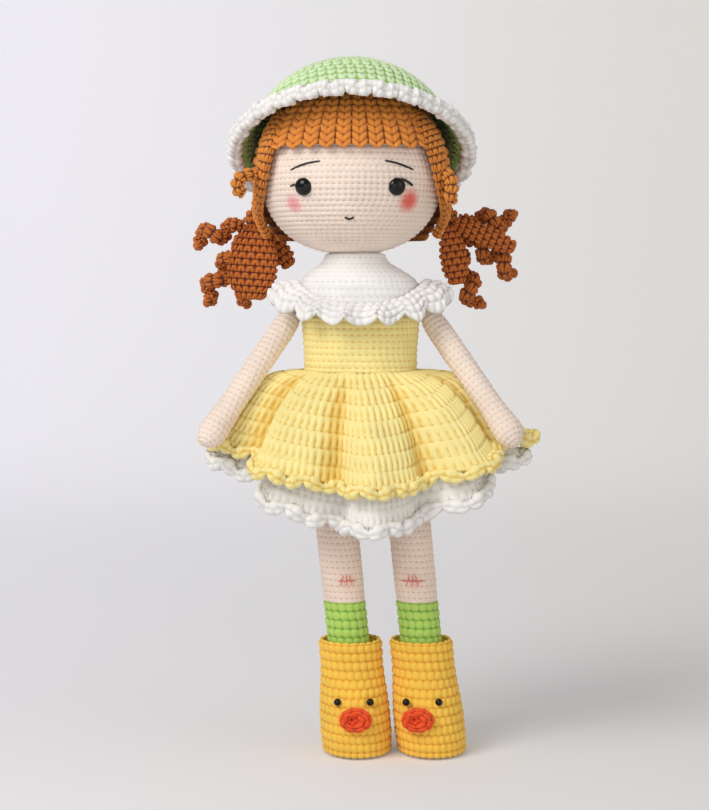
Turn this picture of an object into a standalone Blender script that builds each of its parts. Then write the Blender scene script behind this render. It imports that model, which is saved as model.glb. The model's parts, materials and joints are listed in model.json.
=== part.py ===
"""A crocheted doll in a green hat, a yellow dress and duck boots, standing with its face towards -Y.

Metres, +Z up. The soles stand on z = 0, and the origin is under the middle of the doll's outline.
"""

import math

import bmesh
import bpy
from mathutils import Matrix, Vector

# Gaps and facets
clearance = 0.0003
loose_fit = 0.0006
round_steps = 24
limb_steps = 16
tube_resolution = 1
weld_distance = 0.00001

# Heights of the hinge and the waist above the soles
hip_hinge_height = 0.1460
waist_height = 0.1730

# Stuffed body
bodice_height = 0.0230
bodice_half_width = 0.0260
bodice_half_depth = 0.0190
shoulder_height = 0.0265
shoulder_swell = 0.0010
neck_radius = 0.0130
neck_height = 0.0030
hip_half_width = 0.0252
hip_half_depth = 0.0159

# Head
head_half_width = 0.0415
head_half_depth = 0.0390
head_half_height = 0.0410
chin_drop = 0.0365
head_side_step = -0.0040

# Safety eyes
eye_radius = 0.0039
eye_bulge = 0.0026
eye_seat_depth = 0.0006
eye_spacing = 0.0423
eye_side_step = -0.0013
eye_drop = 0.0048
stem_radius = 0.0012
stem_length = 0.0050
washer_thickness = 0.0012
pocket_depth = 0.0060
pocket_reach = 0.0060

# Hair
wig_thickness = 0.0030
wig_hem_drop = 0.0210
face_half_width = 0.0365
face_window_depth = 0.0110
fringe_hem_rise = 0.0125
fringe_height = 0.0190
lock_radius = 0.0032
ringlet_radius = 0.0019
ringlet_coil_radius = 0.0024
ringlet_pitch = 0.0052
ringlet_length = 0.0170
curl_tube_radius = 0.0026
curl_coil_radius = 0.0026
curl_pitch = 0.0125
curl_points = 9
root_share = 0.5
knot_radius = 0.0060
knot_seat_drop = 0.0170
knot_seat_back = 0.0140
front_layer_step = -0.0055
back_layer_step = 0.0030
curl_start = 0.0065
strip_start = 0.0036
back_strip_start = 0.0056
tuft_length = 0.0360
strip_thickness = 0.0048
strip_half_width = 0.0110

# Hat
hat_tilt = math.radians(29)
hat_slack = 0.0024
hat_wall = 0.0028
hat_lift = 0.0036
rim_ease = 0.0011
brim_rise = 0.0130
brim_drop = 0.0040
brim_radius = 0.0503
shell_radius = 0.0024
shell_swell_share = 0.25

# Skirt, petticoat and ruffle
hem_half_width = 0.0695
hem_half_depth = 0.0470
hem_side_step = 0.0034
skirt_side_drop = 0.0270
skirt_front_drop = 0.0475
skirt_wall = 0.0024
petticoat_half_width = 0.0675
petticoat_half_depth = 0.0450
petticoat_side_drop = 0.0330
petticoat_front_drop = 0.0635
petticoat_wall = 0.0020
bulge_share = 0.06
waist_seam_share = 0.03
fold_depth = 0.0045
fold_count = 9
fold_phase = math.radians(54)
bobble_radius = 0.0024
ruffle_half_width = 0.0400
ruffle_half_depth = 0.0290
ruffle_rise = 0.0190
ruffle_drop = 0.0195
ruffle_wall = 0.0022
ruffle_fold_depth = 0.0020
ruffle_fold_count = 14

# Arms
arm_length = 0.0715
arm_radius = 0.0058
wrist_radius = 0.0054
hand_radius = 0.0067
arm_root_rise = 0.0240
arm_spread = math.radians(34)
arm_forward = math.radians(27)

# Legs and socks, which lean towards +X as they go down
leg_lean_share = 0.10
leg_middle = 0.0016
leg_pitch = 0.0334
thigh_radius = 0.0100
calf_radius = 0.0092
sock_top_height = 0.0705
sock_wall_step = 0.0003

# Boots
boot_height = 0.0535
boot_half_width = 0.0162
boot_half_length = 0.0212
shaft_half_width = 0.0142
boot_wall = 0.0026
sole_thickness = 0.0040
toe_shift = 0.0050
beak_half_width = 0.0074
beak_half_height = 0.0055
beak_reach = 0.0036
beak_height_share = 0.327
duck_eye_radius = 0.0017
duck_eye_height_share = 0.477
duck_eye_spacing = 0.0148
flat_cut = 0.0005
tip_share = 0.7

# Places that follow from the sizes above
bodice_top = waist_height + bodice_height
shoulder_top = bodice_top + clearance + shoulder_height
neck_bottom = shoulder_top + clearance
head_base = neck_bottom + neck_height + clearance
arm_root_height = waist_height + arm_root_rise
beak_height = boot_height * beak_height_share
duck_eye_height = boot_height * duck_eye_height_share
head_centre = Vector((head_side_step, 0, head_base + chin_drop))
hair_half = Vector((head_half_width, head_half_depth, head_half_height)) + Vector((1, 1, 1)) * (
    clearance + wig_thickness
)

COLOURS = {
    "skin yarn": (0.85, 0.71, 0.62),
    "hair yarn": (0.52, 0.17, 0.04),
    "green yarn": (0.42, 0.66, 0.18),
    "sock yarn": (0.30, 0.68, 0.11),
    "white yarn": (0.88, 0.88, 0.88),
    "yellow yarn": (0.93, 0.73, 0.18),
    "boot yarn": (0.90, 0.55, 0.05),
    "orange yarn": (0.70, 0.08, 0.01),
    "black plastic": (0.01, 0.01, 0.01),
}


def clear_scene():
    for item in list(bpy.data.objects):
        bpy.data.objects.remove(item)


def collection(name):
    made = bpy.data.collections.new(name)
    bpy.context.scene.collection.children.link(made)
    return made


def finish(name):
    """The one material of this name, made at its first use."""
    if name in bpy.data.materials:
        return bpy.data.materials[name]
    made = bpy.data.materials.new(name)
    made.use_nodes = True
    shader = made.node_tree.nodes["Principled BSDF"]
    shader.inputs["Base Color"].default_value = (*COLOURS[name], 1)
    shader.inputs["Roughness"].default_value = 0.2 if "plastic" in name else 0.9
    return made


def keep(name, mesh_cage, yarn, home):
    """Weld a bmesh, turn its faces outwards and keep it as one named object of its own finish."""
    bmesh.ops.remove_doubles(mesh_cage, verts=mesh_cage.verts[:], dist=weld_distance)
    bmesh.ops.recalc_face_normals(mesh_cage, faces=mesh_cage.faces[:])
    mesh = bpy.data.meshes.new(name)
    mesh_cage.to_mesh(mesh)
    mesh_cage.free()
    made = bpy.data.objects.new(name, mesh)
    home.objects.link(made)
    mesh.materials.clear()
    mesh.materials.append(finish(yarn).copy())
    mesh.materials[0].name = name + " " + yarn
    mesh.shade_smooth()
    mesh.set_sharp_from_angle(angle=math.radians(50))
    return made


def evaluated(item):
    """The mesh that an object's modifiers or bevel make, as a bmesh in world space."""
    bpy.context.view_layer.update()
    seen = item.evaluated_get(bpy.context.evaluated_depsgraph_get())
    mesh = bpy.data.meshes.new_from_object(seen)
    cage = bmesh.new()
    cage.from_mesh(mesh)
    cage.transform(item.matrix_world)
    bpy.data.meshes.remove(mesh)
    return cage


def turned(name, profile, yarn, home, place, steps=round_steps):
    """Turn a profile of (radius, height) about Z with a Screw, then move it with place."""
    mesh = bpy.data.meshes.new(name + " profile")
    points = [(radius, 0, height) for radius, height in profile]
    mesh.from_pydata(points, [(i, i + 1) for i in range(len(points) - 1)], [])
    guide = bpy.data.objects.new(name + " guide", mesh)
    home.objects.link(guide)
    screw = guide.modifiers.new("Turn", "SCREW")
    screw.steps = steps
    screw.render_steps = steps
    screw.use_merge_vertices = True
    screw.merge_threshold = weld_distance
    cage = evaluated(guide)
    bpy.data.objects.remove(guide)
    for corner in cage.verts:
        corner.co = place(corner.co.copy())
    return keep(name, cage, yarn, home)


def tube(name, points, radii, yarn, home, cyclic=False, flatten=None):
    """A bevelled curve through the points, with a radius of its own at each of them."""
    curve = bpy.data.curves.new(name + " route", "CURVE")
    curve.dimensions = "3D"
    curve.bevel_depth = max(radii)
    curve.bevel_resolution = tube_resolution
    curve.use_fill_caps = not cyclic
    spline = curve.splines.new("POLY")
    spline.points.add(len(points) - 1)
    for knot, point, radius in zip(spline.points, points, radii):
        knot.co = (*point, 1)
        knot.radius = radius / max(radii)
    spline.use_cyclic_u = cyclic
    guide = bpy.data.objects.new(name + " guide", curve)
    home.objects.link(guide)
    cage = evaluated(guide)
    bpy.data.objects.remove(guide)
    if flatten:
        for corner in cage.verts:
            corner.co = flatten(corner.co.copy())
    return keep(name, cage, yarn, home)


def loft(name, rings, yarn, home, ring_loop=False):
    """Skin a run of rings. Its ends are closed, or joined to each other for a ring_loop."""
    cage = bmesh.new()
    rows = [[cage.verts.new(point) for point in ring] for ring in rings]
    pairs = list(zip(rows, rows[1:]))
    if ring_loop:
        pairs.append((rows[-1], rows[0]))
    for upper, lower in pairs:
        for i in range(len(upper)):
            j = (i + 1) % len(upper)
            cage.faces.new((upper[i], lower[i], lower[j], upper[j]))
    if not ring_loop:
        cage.faces.new(rows[0])
        cage.faces.new(list(reversed(rows[-1])))
    return keep(name, cage, yarn, home)


def ellipse(centre, half_x, half_y, count):
    turns = [math.tau * i / count for i in range(count)]
    return [centre + Vector((half_x * math.cos(a), half_y * math.sin(a), 0)) for a in turns]


def cut(item, tool, operation="DIFFERENCE"):
    """Cut an object with a tool of the cutters' collection, and keep the modifier on it."""
    tool.hide_render = True
    tool.display_type = "WIRE"
    modifier = item.modifiers.new("Cut " + tool.name, "BOOLEAN")
    modifier.operation = operation
    modifier.solver = "EXACT"
    modifier.object = tool


def block(name, low, high, home):
    """A box-shaped cutter between two corners."""
    cage = bmesh.new()
    bmesh.ops.create_cube(cage, size=1)
    size = high - low
    for corner in cage.verts:
        corner.co = low + Vector([(c + 0.5) * s for c, s in zip(corner.co, size)])
    return keep(name, cage, "white yarn", home)


def ball_profile(radius, low_share=-1.0, high_share=1.0, count=14):
    """A half circle from top to bottom, between two shares of its radius."""
    high = math.asin(high_share)
    low = math.asin(low_share)
    angles = [high + (low - high) * i / (count - 1) for i in range(count)]
    return [(max(0, radius * math.cos(a)), radius * math.sin(a)) for a in angles]


def oval(half_width, half_depth, radius):
    """A place function that squeezes a turned form of this radius into an oval about the Z axis."""
    return lambda point: Vector((point.x * half_width / radius, point.y * half_depth / radius, point.z))


def leg_x(height, side):
    """The middle of a leg at a height: the legs lean towards +X as they go down."""
    return leg_middle + side * leg_pitch / 2 + leg_lean_share * (hip_hinge_height - height)


# Torso

def make_torso(home):
    swell = bodice_half_width + shoulder_swell
    hip_bottom = hip_hinge_height + thigh_radius + clearance
    hip_top = waist_height - clearance
    hip_mid = (hip_bottom + hip_top) / 2
    hip_profile = [
        (0, hip_top),
        (hip_half_width * 0.97, hip_top),
        (hip_half_width, hip_mid),
        (hip_half_width * 0.96, (hip_mid + hip_bottom) / 2),
        (hip_half_width * 0.84, hip_bottom),
        (0, hip_bottom),
    ]
    turned("hips", hip_profile, "skin yarn", home, oval(hip_half_width, hip_half_depth, hip_half_width))
    bodice_profile = [
        (0, bodice_top),
        (swell, bodice_top),
        (bodice_half_width, bodice_top - bodice_height / 3),
        (bodice_half_width * 0.985, waist_height + bodice_height / 3),
        (bodice_half_width, waist_height),
        (0, waist_height),
    ]
    slim = oval(bodice_half_width, bodice_half_depth, bodice_half_width)
    turned("bodice", bodice_profile, "yellow yarn", home, slim)
    shoulder_bottom = bodice_top + clearance
    slope_shares = [(1.0, 0.0), (1.0, 0.55), (0.97, 0.70), (0.85, 0.82), (0.66, 0.92), (0.5, 1.0)]
    shoulder_profile = [(0, shoulder_top)]
    for width_share, height_share in reversed(slope_shares):
        radius = neck_radius + (swell - neck_radius) * (width_share - 0.5) / 0.5
        shoulder_profile.append((radius, shoulder_bottom + shoulder_height * height_share))
    shoulder_profile.append((0, shoulder_bottom))
    rounder = bodice_half_depth / bodice_half_width

    def shoulder_place(point):
        reach = math.hypot(point.x, point.y)
        share = 1 if reach < neck_radius else 1 + (rounder - 1) * min(
            1, (reach - neck_radius) / (swell - neck_radius)
        )
        slope = max(0, point.z - bodice_top - ruffle_rise) / (shoulder_height - ruffle_rise)
        return Vector((point.x + head_side_step / 2 * slope, point.y * share, point.z))

    turned("shoulders", shoulder_profile, "white yarn", home, shoulder_place)
    neck_top = neck_bottom + neck_height
    neck_profile = [(0, neck_top), (neck_radius, neck_top), (neck_radius, neck_bottom), (0, neck_bottom)]

    def neck_place(point):
        rise = (point.z - neck_bottom) / neck_height
        return point + Vector((head_side_step * (1 + rise) / 2, 0, 0))

    turned("neck", neck_profile, "white yarn", home, neck_place)


# Skirt, petticoat and ruffle

def cloth_point(turn, share, inset, cloth):
    """A point of gathered cloth: share runs from the waist down, inset is how far it lies inside."""
    fold = fold_depth * share * math.cos(fold_count * turn + fold_phase)
    waist = Vector((bodice_half_width * math.cos(turn), bodice_half_depth * math.sin(turn)))
    hem = Vector((cloth["half_width"] * math.cos(turn), cloth["half_depth"] * math.sin(turn)))
    out = (hem - waist).length
    sideways = math.cos(turn) ** 2
    drop = cloth["side_drop"] * sideways + cloth["front_drop"] * (1 - sideways)
    slant = math.hypot(out, drop)
    bulge = math.sin(math.pi * share) * slant * bulge_share - inset
    outward = (hem - waist).normalized()
    level = waist + outward * (out * share + fold + bulge * drop / slant)
    level.x += hem_side_step * share
    height = waist_height - clearance - drop * share + bulge * out / slant
    return Vector((level.x, level.y, height))


def gathered(name, cloth, yarn, home, rows=5, columns=54):
    """A closed shell of gathered cloth, open at the waist and at the hem."""
    top = cloth["top_share"]
    shares = [top + (1 - top) * i / (rows - 1) for i in range(rows)]
    turns = [math.tau * i / columns for i in range(columns)]
    inset = cloth["inset"]
    outer = [[cloth_point(a, s, inset, cloth) for a in turns] for s in shares]
    inner = [[cloth_point(a, s, inset + cloth["wall"], cloth) for a in turns] for s in reversed(shares)]
    return loft(name, outer + inner, yarn, home, ring_loop=True)


def scallops(name, path, radius, bumps, yarn, home):
    """A closed edging along a path of a turn, which swells once for each bump."""
    count = bumps * 2
    points = [path(math.tau * i / count) for i in range(count)]
    radii = [radius * (1 + shell_swell_share * (-1) ** i) for i in range(count)]
    return tube(name, points, radii, yarn, home, cyclic=True)


def make_skirt(home):
    skirt = {
        "half_width": hem_half_width,
        "half_depth": hem_half_depth,
        "side_drop": skirt_side_drop,
        "front_drop": skirt_front_drop,
        "inset": 0,
        "wall": skirt_wall,
        "top_share": waist_seam_share,
    }
    petticoat = {
        "half_width": petticoat_half_width,
        "half_depth": petticoat_half_depth,
        "side_drop": petticoat_side_drop,
        "front_drop": petticoat_front_drop,
        "inset": skirt_wall + clearance,
        "wall": petticoat_wall,
        "top_share": waist_seam_share * 2,
    }
    for name, cloth, yarn in (("skirt", skirt, "yellow yarn"), ("petticoat", petticoat, "white yarn")):
        gathered(name, cloth, yarn, home)
        reach = bobble_radius * (1 + shell_swell_share) + clearance + cloth["wall"] / 5
        middle = cloth["inset"] + cloth["wall"] / 2

        def path(turn, reach=reach, middle=middle, cloth=cloth):
            slant = (cloth_point(turn, 1, 0, cloth) - cloth_point(turn, 0, 0, cloth)).length
            return cloth_point(turn, 1 + reach / slant, middle, cloth)

        scallops(name + "_edging", path, bobble_radius, fold_count * 3, yarn, home)


def ruffle_point(turn, share, inset):
    """A point of the off-shoulder ruffle: from its seam on the shoulders out and down to its hem."""
    fold = ruffle_fold_depth * share * math.cos(ruffle_fold_count * turn)
    shoulder_half = bodice_half_width + shoulder_swell
    shoulder_half_depth = shoulder_half * bodice_half_depth / bodice_half_width
    top_half = Vector((shoulder_half + loose_fit, shoulder_half_depth + loose_fit))
    top_half += Vector((1, 1)) * ruffle_wall / 2 * (1 - share)
    hem_half = Vector((ruffle_half_width, ruffle_half_depth))
    half = top_half + (hem_half - top_half) * math.sin(share * math.pi / 2)
    level = Vector(((half.x + fold - inset) * math.cos(turn), (half.y + fold - inset) * math.sin(turn)))
    over_arm = abs(math.cos(turn)) ** 6 * ruffle_drop / 2
    height = bodice_top + ruffle_rise - (ruffle_drop - over_arm) * share ** 1.5
    return Vector((level.x, level.y, height))


def make_ruffle(home):
    rows = 4
    columns = 56
    shares = [i / (rows - 1) for i in range(rows)]
    turns = [math.tau * i / columns for i in range(columns)]
    lift = Vector((0, 0, ruffle_wall / 2))
    outer = [[ruffle_point(a, s, 0) + lift for a in turns] for s in shares]
    inner = [[ruffle_point(a, s, ruffle_wall / 2) - lift for a in turns] for s in reversed(shares)]
    loft("collar_ruffle", outer + inner, "white yarn", home, ring_loop=True)


# Head and eyes

def make_head(home, cutters):
    low_share = -chin_drop / head_half_height
    profile = ball_profile(head_half_height, low_share, 1.0, 12)
    profile.append((0, -chin_drop))

    def head_place(point):
        x = point.x * head_half_width / head_half_height
        y = point.y * head_half_depth / head_half_height
        return head_centre + Vector((x, y, point.z))

    head = turned("head", profile, "skin yarn", home, head_place)
    for side, label in ((-1, "right"), (1, "left")):
        make_eye(label, side, head, home, cutters)


def head_surface(x, height):
    """The point of the face at this x and height from the head's centre, and its outward way."""
    half = Vector((head_half_width, head_half_depth, head_half_height))
    depth = half.y * math.sqrt(1 - (x / half.x) ** 2 - (height / half.z) ** 2)
    normal = Vector((x / half.x**2, -depth / half.y**2, height / half.z**2)).normalized()
    return head_centre + Vector((x, -depth, height)), normal


def aim(point, direction):
    """The place function that lays the Z axis of a turned form along a direction from a point."""
    turn = Vector((0, 0, 1)).rotation_difference(direction).to_matrix().to_4x4()
    place = Matrix.Translation(point) @ turn
    return lambda corner: place @ corner


def make_eye(label, side, head, home, cutters):
    seat, normal = head_surface(eye_side_step + side * eye_spacing / 2, -eye_drop)
    place = aim(seat - normal * eye_seat_depth, normal)
    pocket_radius = eye_radius + clearance
    pocket = [(pocket_radius, pocket_reach), (pocket_radius, -pocket_depth)]
    pocket = [(0, pocket_reach)] + pocket + [(0, -pocket_depth)]
    cut(head, turned("pocket_" + label, pocket, "skin yarn", cutters, place, limb_steps))
    dome = [
        (eye_radius * math.sin(a), eye_bulge * math.cos(a)) for a in (math.pi / 2 * i / 5 for i in range(6))
    ]
    stem = [(stem_radius, 0), (stem_radius, -stem_length), (0, -stem_length)]
    turned("eye_" + label, dome + stem, "black plastic", home, place, limb_steps)
    hole = stem_radius + clearance
    washer_top = -eye_seat_depth - clearance
    low = washer_top - washer_thickness
    ring = [(eye_radius, washer_top), (eye_radius, low), (hole, low), (hole, washer_top)]
    ring.append(ring[0])
    turned("eye_washer_" + label, ring, "black plastic", home, place, limb_steps)


# Hair

def hair_profile(grow):
    """The outer or inner half outline of the wig as shares of its height."""
    return ball_profile(head_half_height + grow, -0.999, 1.0, 15)


def make_hair(home, cutters):
    inner = hair_profile(clearance)
    outer = hair_profile(clearance + wig_thickness)
    hem = -wig_hem_drop

    def wig_place(point):
        grow = point.length - head_half_height
        x = point.x * (head_half_width + grow) / (head_half_height + grow)
        y = point.y * (head_half_depth + grow) / (head_half_height + grow)
        return head_centre + Vector((x, y, point.z))

    outer_cap = [p for p in outer if p[1] > hem]
    inner_cap = [p for p in inner if p[1] > hem]
    profile = outer_cap + list(reversed(inner_cap))
    cap = turned("wig_cap", profile, "hair yarn", home, wig_place)
    reach = hair_half.x + wig_thickness
    window_top = fringe_hem_rise + fringe_height
    low = head_centre + Vector((-face_half_width, -reach, -reach))
    high = head_centre + Vector((face_half_width, -face_window_depth, window_top))
    cut(cap, block("face_window", low, high, cutters))
    fringe = turned("fringe", profile, "hair yarn", home, wig_place)
    gap = Vector((clearance, clearance, clearance))
    slab_low = head_centre + Vector((-face_half_width, -reach, fringe_hem_rise)) + gap
    cut(fringe, block("fringe_block", slab_low, high - gap, cutters), "INTERSECT")


def side_mirror(point, side):
    """A place beside the head, given for the doll's left, on either side of the head's middle."""
    return head_centre + Vector((side * point[0], point[1], point[2]))


def hair_seat(side, depth_share, rise_share, away):
    """A point beside the head, this far out from the wig, at shares of the wig's depth and height."""
    y = hair_half.y * depth_share
    z = hair_half.z * rise_share
    x = hair_half.x * math.sqrt(1 - depth_share**2 - rise_share**2)
    normal = Vector((x / hair_half.x**2, y / hair_half.y**2, z / hair_half.z**2)).normalized()
    return side_mirror(Vector((x, y, z)) + normal * away, side)


def knot_centre(side):
    depth_share = knot_seat_back / hair_half.y
    return hair_seat(side, depth_share, -knot_seat_drop / hair_half.z, knot_radius + clearance)


def make_locks(home):
    route_shares = [(-0.30, 0.17), (-0.29, 0.06), (-0.27, -0.07), (-0.22, -0.20), (-0.14, -0.34)]
    width_shares = (0.7, 1.0, 0.95, 0.9, 0.6)
    radii = [lock_radius * share for share in width_shares]
    for side, label in ((-1, "right"), (1, "left")):
        points = [
            hair_seat(side, depth, rise, radius + clearance)
            for (depth, rise), radius in zip(route_shares, radii)
        ]
        tube("side_lock_" + label, points, radii, "hair yarn", home)


def helix(start, end, coil_radius, pitch):
    """The points of a curl from start to end, whose coil grows in from its root."""
    axis = end - start
    turns = axis.length / pitch
    count = max(6, round(turns * curl_points))
    across = axis.cross(Vector((0, 1, 0))).normalized()
    other = axis.normalized().cross(across)
    points = []
    for i in range(count + 1):
        share = i / count
        angle = math.tau * turns * share
        reach = coil_radius * min(1, share * 2)
        points.append(start + axis * share + (across * math.cos(angle) + other * math.sin(angle)) * reach)
    return points


def least_self_gap(points, tube_radius, coil_radius):
    """The least open gap between stretches of a curl that lie more than half a turn apart along it."""
    walked = [0.0]
    for a, b in zip(points, points[1:]):
        walked.append(walked[-1] + (b - a).length)
    half_turn = math.pi * coil_radius
    apart = [
        (a - b).length
        for i, a in enumerate(points)
        for j, b in enumerate(points)
        if walked[j] - walked[i] > half_turn
    ]
    return min(apart) - 2 * tube_radius


def make_curl(name, start, end, radius, coil_radius, pitch, root, home):
    points = helix(start, end, coil_radius, pitch)
    last = len(points) - 1
    radii = [radius * min(1, root + (1 - root) * i * 4 / last) for i in range(last)]
    radii.append(radius * tip_share)
    gap = least_self_gap(points, radius, coil_radius)
    print(f"{name}: least gap between its turns {gap * 1000:.2f} mm")
    tube(name, points, radii, "hair yarn", home)


def make_strip(name, start, end, half_width, home):
    """A flat crocheted strip that swells in its middle."""
    width_shares = [0.12, 0.6, 0.95, 1.0, 0.9, 0.5]
    last = len(width_shares) - 1
    points = [start.lerp(end, i / last) for i in range(last + 1)]
    radii = [half_width * share for share in width_shares]
    thin = strip_thickness / 2 / half_width

    def flatten(point):
        return Vector((point.x, start.y + (point.y - start.y) * thin, point.z))

    tube(name, points, radii, "hair yarn", home, flatten=flatten)


def make_pigtail(label, side, curls, strips, home):
    """The knot, and the curls and strips that fan out from it at angles below the horizontal.

    A curl is (angle, length share), and a strip is (angle, length share, width share, layer).
    """
    knot = knot_centre(side)
    place = aim(knot, Vector((0, 0, 1)))
    ball = ball_profile(knot_radius, -0.999, 1.0, 7)
    ball[-1] = (0, -knot_radius)
    turned("pigtail_knot_" + label, ball, "hair yarn", home, place, limb_steps)

    def tuft(angle, length_share, layer, first):
        heading = Vector((side * math.cos(math.radians(angle)), 0, -math.sin(math.radians(angle))))
        start = knot + Vector((0, layer, 0)) + heading * first
        return start, start + heading * tuft_length * length_share

    for number, (angle, length_share) in enumerate(curls, 1):
        start, end = tuft(angle, length_share, back_layer_step, curl_start)
        name = f"curl_{label}_{number}"
        make_curl(name, start, end, curl_tube_radius, curl_coil_radius, curl_pitch, root_share, home)
    for number, (angle, length_share, width_share, layer) in enumerate(strips, 1):
        first = strip_start if layer == front_layer_step else back_strip_start
        start, end = tuft(angle, length_share, layer, first)
        make_strip(f"strip_{label}_{number}", start, end, strip_half_width * width_share, home)


def make_ringlet(label, side, home):
    """A small curl that springs from the side lock at the temple."""
    start = hair_seat(side, -0.43, 0.12, ringlet_radius * 0.7 + clearance)
    end = start + Vector((side * ringlet_length / 2, -ringlet_length / 5, -ringlet_length))
    name = "temple_curl_" + label
    make_curl(name, start, end, ringlet_radius, ringlet_coil_radius, ringlet_pitch, 1.0, home)


# Hat

def make_hat(home):
    inner_radius = hair_half.z + hat_slack
    outer_radius = inner_radius + hat_wall
    axis = Vector((0, math.sin(hat_tilt), math.cos(hat_tilt)))
    forward = inner_radius - hair_half.y - clearance - rim_ease
    middle = head_centre + Vector((0, -forward, hat_lift))
    place = aim(middle, axis)
    outer = ball_profile(outer_radius, brim_rise / outer_radius, 1.0, 7)
    inner = ball_profile(inner_radius, (brim_rise - hat_wall) / inner_radius, 1.0, 7)
    edge_rise = brim_rise - brim_drop
    knee_radius = (outer[-1][0] + brim_radius) / 2
    knee_rise = brim_rise - brim_drop / 3
    brim = [
        (knee_radius, knee_rise),
        (brim_radius, edge_rise),
        (brim_radius, edge_rise - hat_wall),
        (knee_radius, knee_rise - hat_wall),
    ]
    turned("hat", outer + brim + list(reversed(inner)), "green yarn", home, place)
    ring_radius = brim_radius + shell_radius * (1 + shell_swell_share) + clearance
    ring_rise = edge_rise - hat_wall / 2
    scallops(
        "hat_edging",
        lambda a: place(Vector((ring_radius * math.cos(a), ring_radius * math.sin(a), ring_rise))),
        shell_radius,
        24,
        "white yarn",
        home,
    )
    return axis


# Arms

def make_arm(label, side, home):
    """A slim stuffed arm, rounded at the shoulder and swelling to the hand."""
    beside = bodice_half_width + shoulder_swell + clearance + arm_radius
    root = Vector((side * beside, 0, arm_root_height))
    heading = Vector((side * math.sin(arm_spread), -math.sin(arm_forward), -math.cos(arm_spread)))
    heading.normalize()
    hand_end = arm_length - hand_radius
    profile = ball_profile(arm_radius, 0.0, 1.0, 4)
    profile += [
        (arm_radius, -arm_length * 0.3),
        (wrist_radius, -arm_length * 0.72),
        (hand_radius * 0.97, -hand_end * 0.93),
    ]
    profile += [
        (hand_radius * math.cos(a), -hand_end - hand_radius * math.sin(a))
        for a in (math.pi / 2 * i / 4 for i in range(5))
    ]
    profile[-1] = (0, -arm_length)
    turned("arm_" + label, profile, "skin yarn", home, aim(root, -heading), limb_steps)
    return root


# Legs, socks and boots

def leg_rings(spans, side):
    """Level rings along a leaning leg, from (height, radius) pairs."""
    return [ellipse(Vector((leg_x(z, side), 0, z)), r, r, limb_steps) for z, r in spans]


def make_leg(label, side, home):
    hinge = hip_hinge_height
    cap = [
        (hinge + thigh_radius * math.sin(a), thigh_radius * math.cos(a))
        for a in (math.radians(d) for d in (80, 55, 28))
    ]
    sock_bottom = sole_thickness + clearance
    knee = (hinge + sock_top_height) / 2
    leg = cap + [(hinge, thigh_radius), (knee, thigh_radius * 0.96)]
    leg.append((sock_top_height + clearance, calf_radius))
    loft("leg_" + label, leg_rings(leg, side), "skin yarn", home)
    wide = calf_radius + sock_wall_step
    sock = [
        (sock_top_height, wide),
        ((sock_top_height + boot_height) / 2, wide),
        (boot_height / 2, wide),
        (sock_bottom + wide / 3, wide),
        (sock_bottom, wide * 0.75),
    ]
    loft("sock_" + label, leg_rings(sock, side), "sock yarn", home)


def boot_centre(height, side, forward):
    return Vector((leg_x(height, side), -forward, height))


def make_boot(label, side, home, cutters):
    """A boot's upper, from the floor to the rim and back down inside, and the oval sole within it."""
    wide = boot_half_width
    long = boot_half_length
    shaft = shaft_half_width
    ankle = boot_height * 0.55
    outer = [
        (0, wide * 0.90, long * 0.92, toe_shift * 0.9),
        (flat_cut * 4, wide * 0.97, long * 0.98, toe_shift),
        (boot_height * 0.18, wide, long, toe_shift),
        (boot_height * 0.36, wide * 0.99, long * 0.93, toe_shift * 0.75),
        (ankle, wide * 0.93, long * 0.78, toe_shift * 0.25),
        (boot_height * 0.72, shaft, shaft, 0),
        (boot_height * 0.96, shaft, shaft, 0),
        (boot_height, shaft - boot_wall / 3, shaft - boot_wall / 3, 0),
    ]
    inside = shaft - boot_wall
    inner = [
        (boot_height * 0.97, inside, inside, 0),
        (boot_height * 0.66, inside, inside, 0),
        (boot_height * 0.40, inside, inside * 1.12, toe_shift * 0.3),
        (sole_thickness, inside, inside * 1.18, toe_shift * 0.5),
        (0, inside, inside * 1.18, toe_shift * 0.5),
    ]
    rings = [
        ellipse(boot_centre(z, side, forward), x, y, round_steps) for z, x, y, forward in outer + inner
    ]
    boot = loft("boot_" + label, rings, "boot yarn", home, ring_loop=True)
    sole_half = (inside - clearance, inside * 1.18 - clearance)
    sole = [
        ellipse(boot_centre(z, side, toe_shift * 0.5), *sole_half, round_steps) for z in (0, sole_thickness)
    ]
    loft("sole_" + label, sole, "boot yarn", home)
    front = long * 0.97 + toe_shift * 0.9
    beak_centre = boot_centre(beak_height, side, front)
    hollow = ball_profile(1.0, -0.999, 1.0, 7)
    hollow[-1] = (0, -1.0)

    def beak_place(grow):
        return lambda p: beak_centre + Vector(
            (p.x * (beak_half_width + grow), p.y * (beak_reach + grow), p.z * (beak_half_height + grow))
        )

    cut(boot, turned("beak_seat_" + label, hollow, "boot yarn", cutters, beak_place(clearance), limb_steps))
    turned("beak_" + label, hollow, "orange yarn", home, beak_place(0), limb_steps)
    eye_front = long * 0.80 + toe_shift * 0.5
    for eye_side in (-1, 1):
        eye_label = "outer" if eye_side == side else "inner"
        middle = boot_centre(duck_eye_height, side, eye_front)
        middle.x += eye_side * duck_eye_spacing / 2
        name = f"duck_eye_{eye_label}_{label}"
        ball = ball_profile(duck_eye_radius, -0.999, 1.0, 7)
        ball[-1] = (0, -duck_eye_radius)
        seat = ball_profile(duck_eye_radius + clearance, -0.999, 1.0, 7)
        seat[-1] = (0, -duck_eye_radius - clearance)
        place = aim(middle, Vector((0, -1, 0)))
        cut(boot, turned("seat_" + name, seat, "boot yarn", cutters, place, 12))
        turned(name, ball, "black plastic", home, place, 12)


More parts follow.
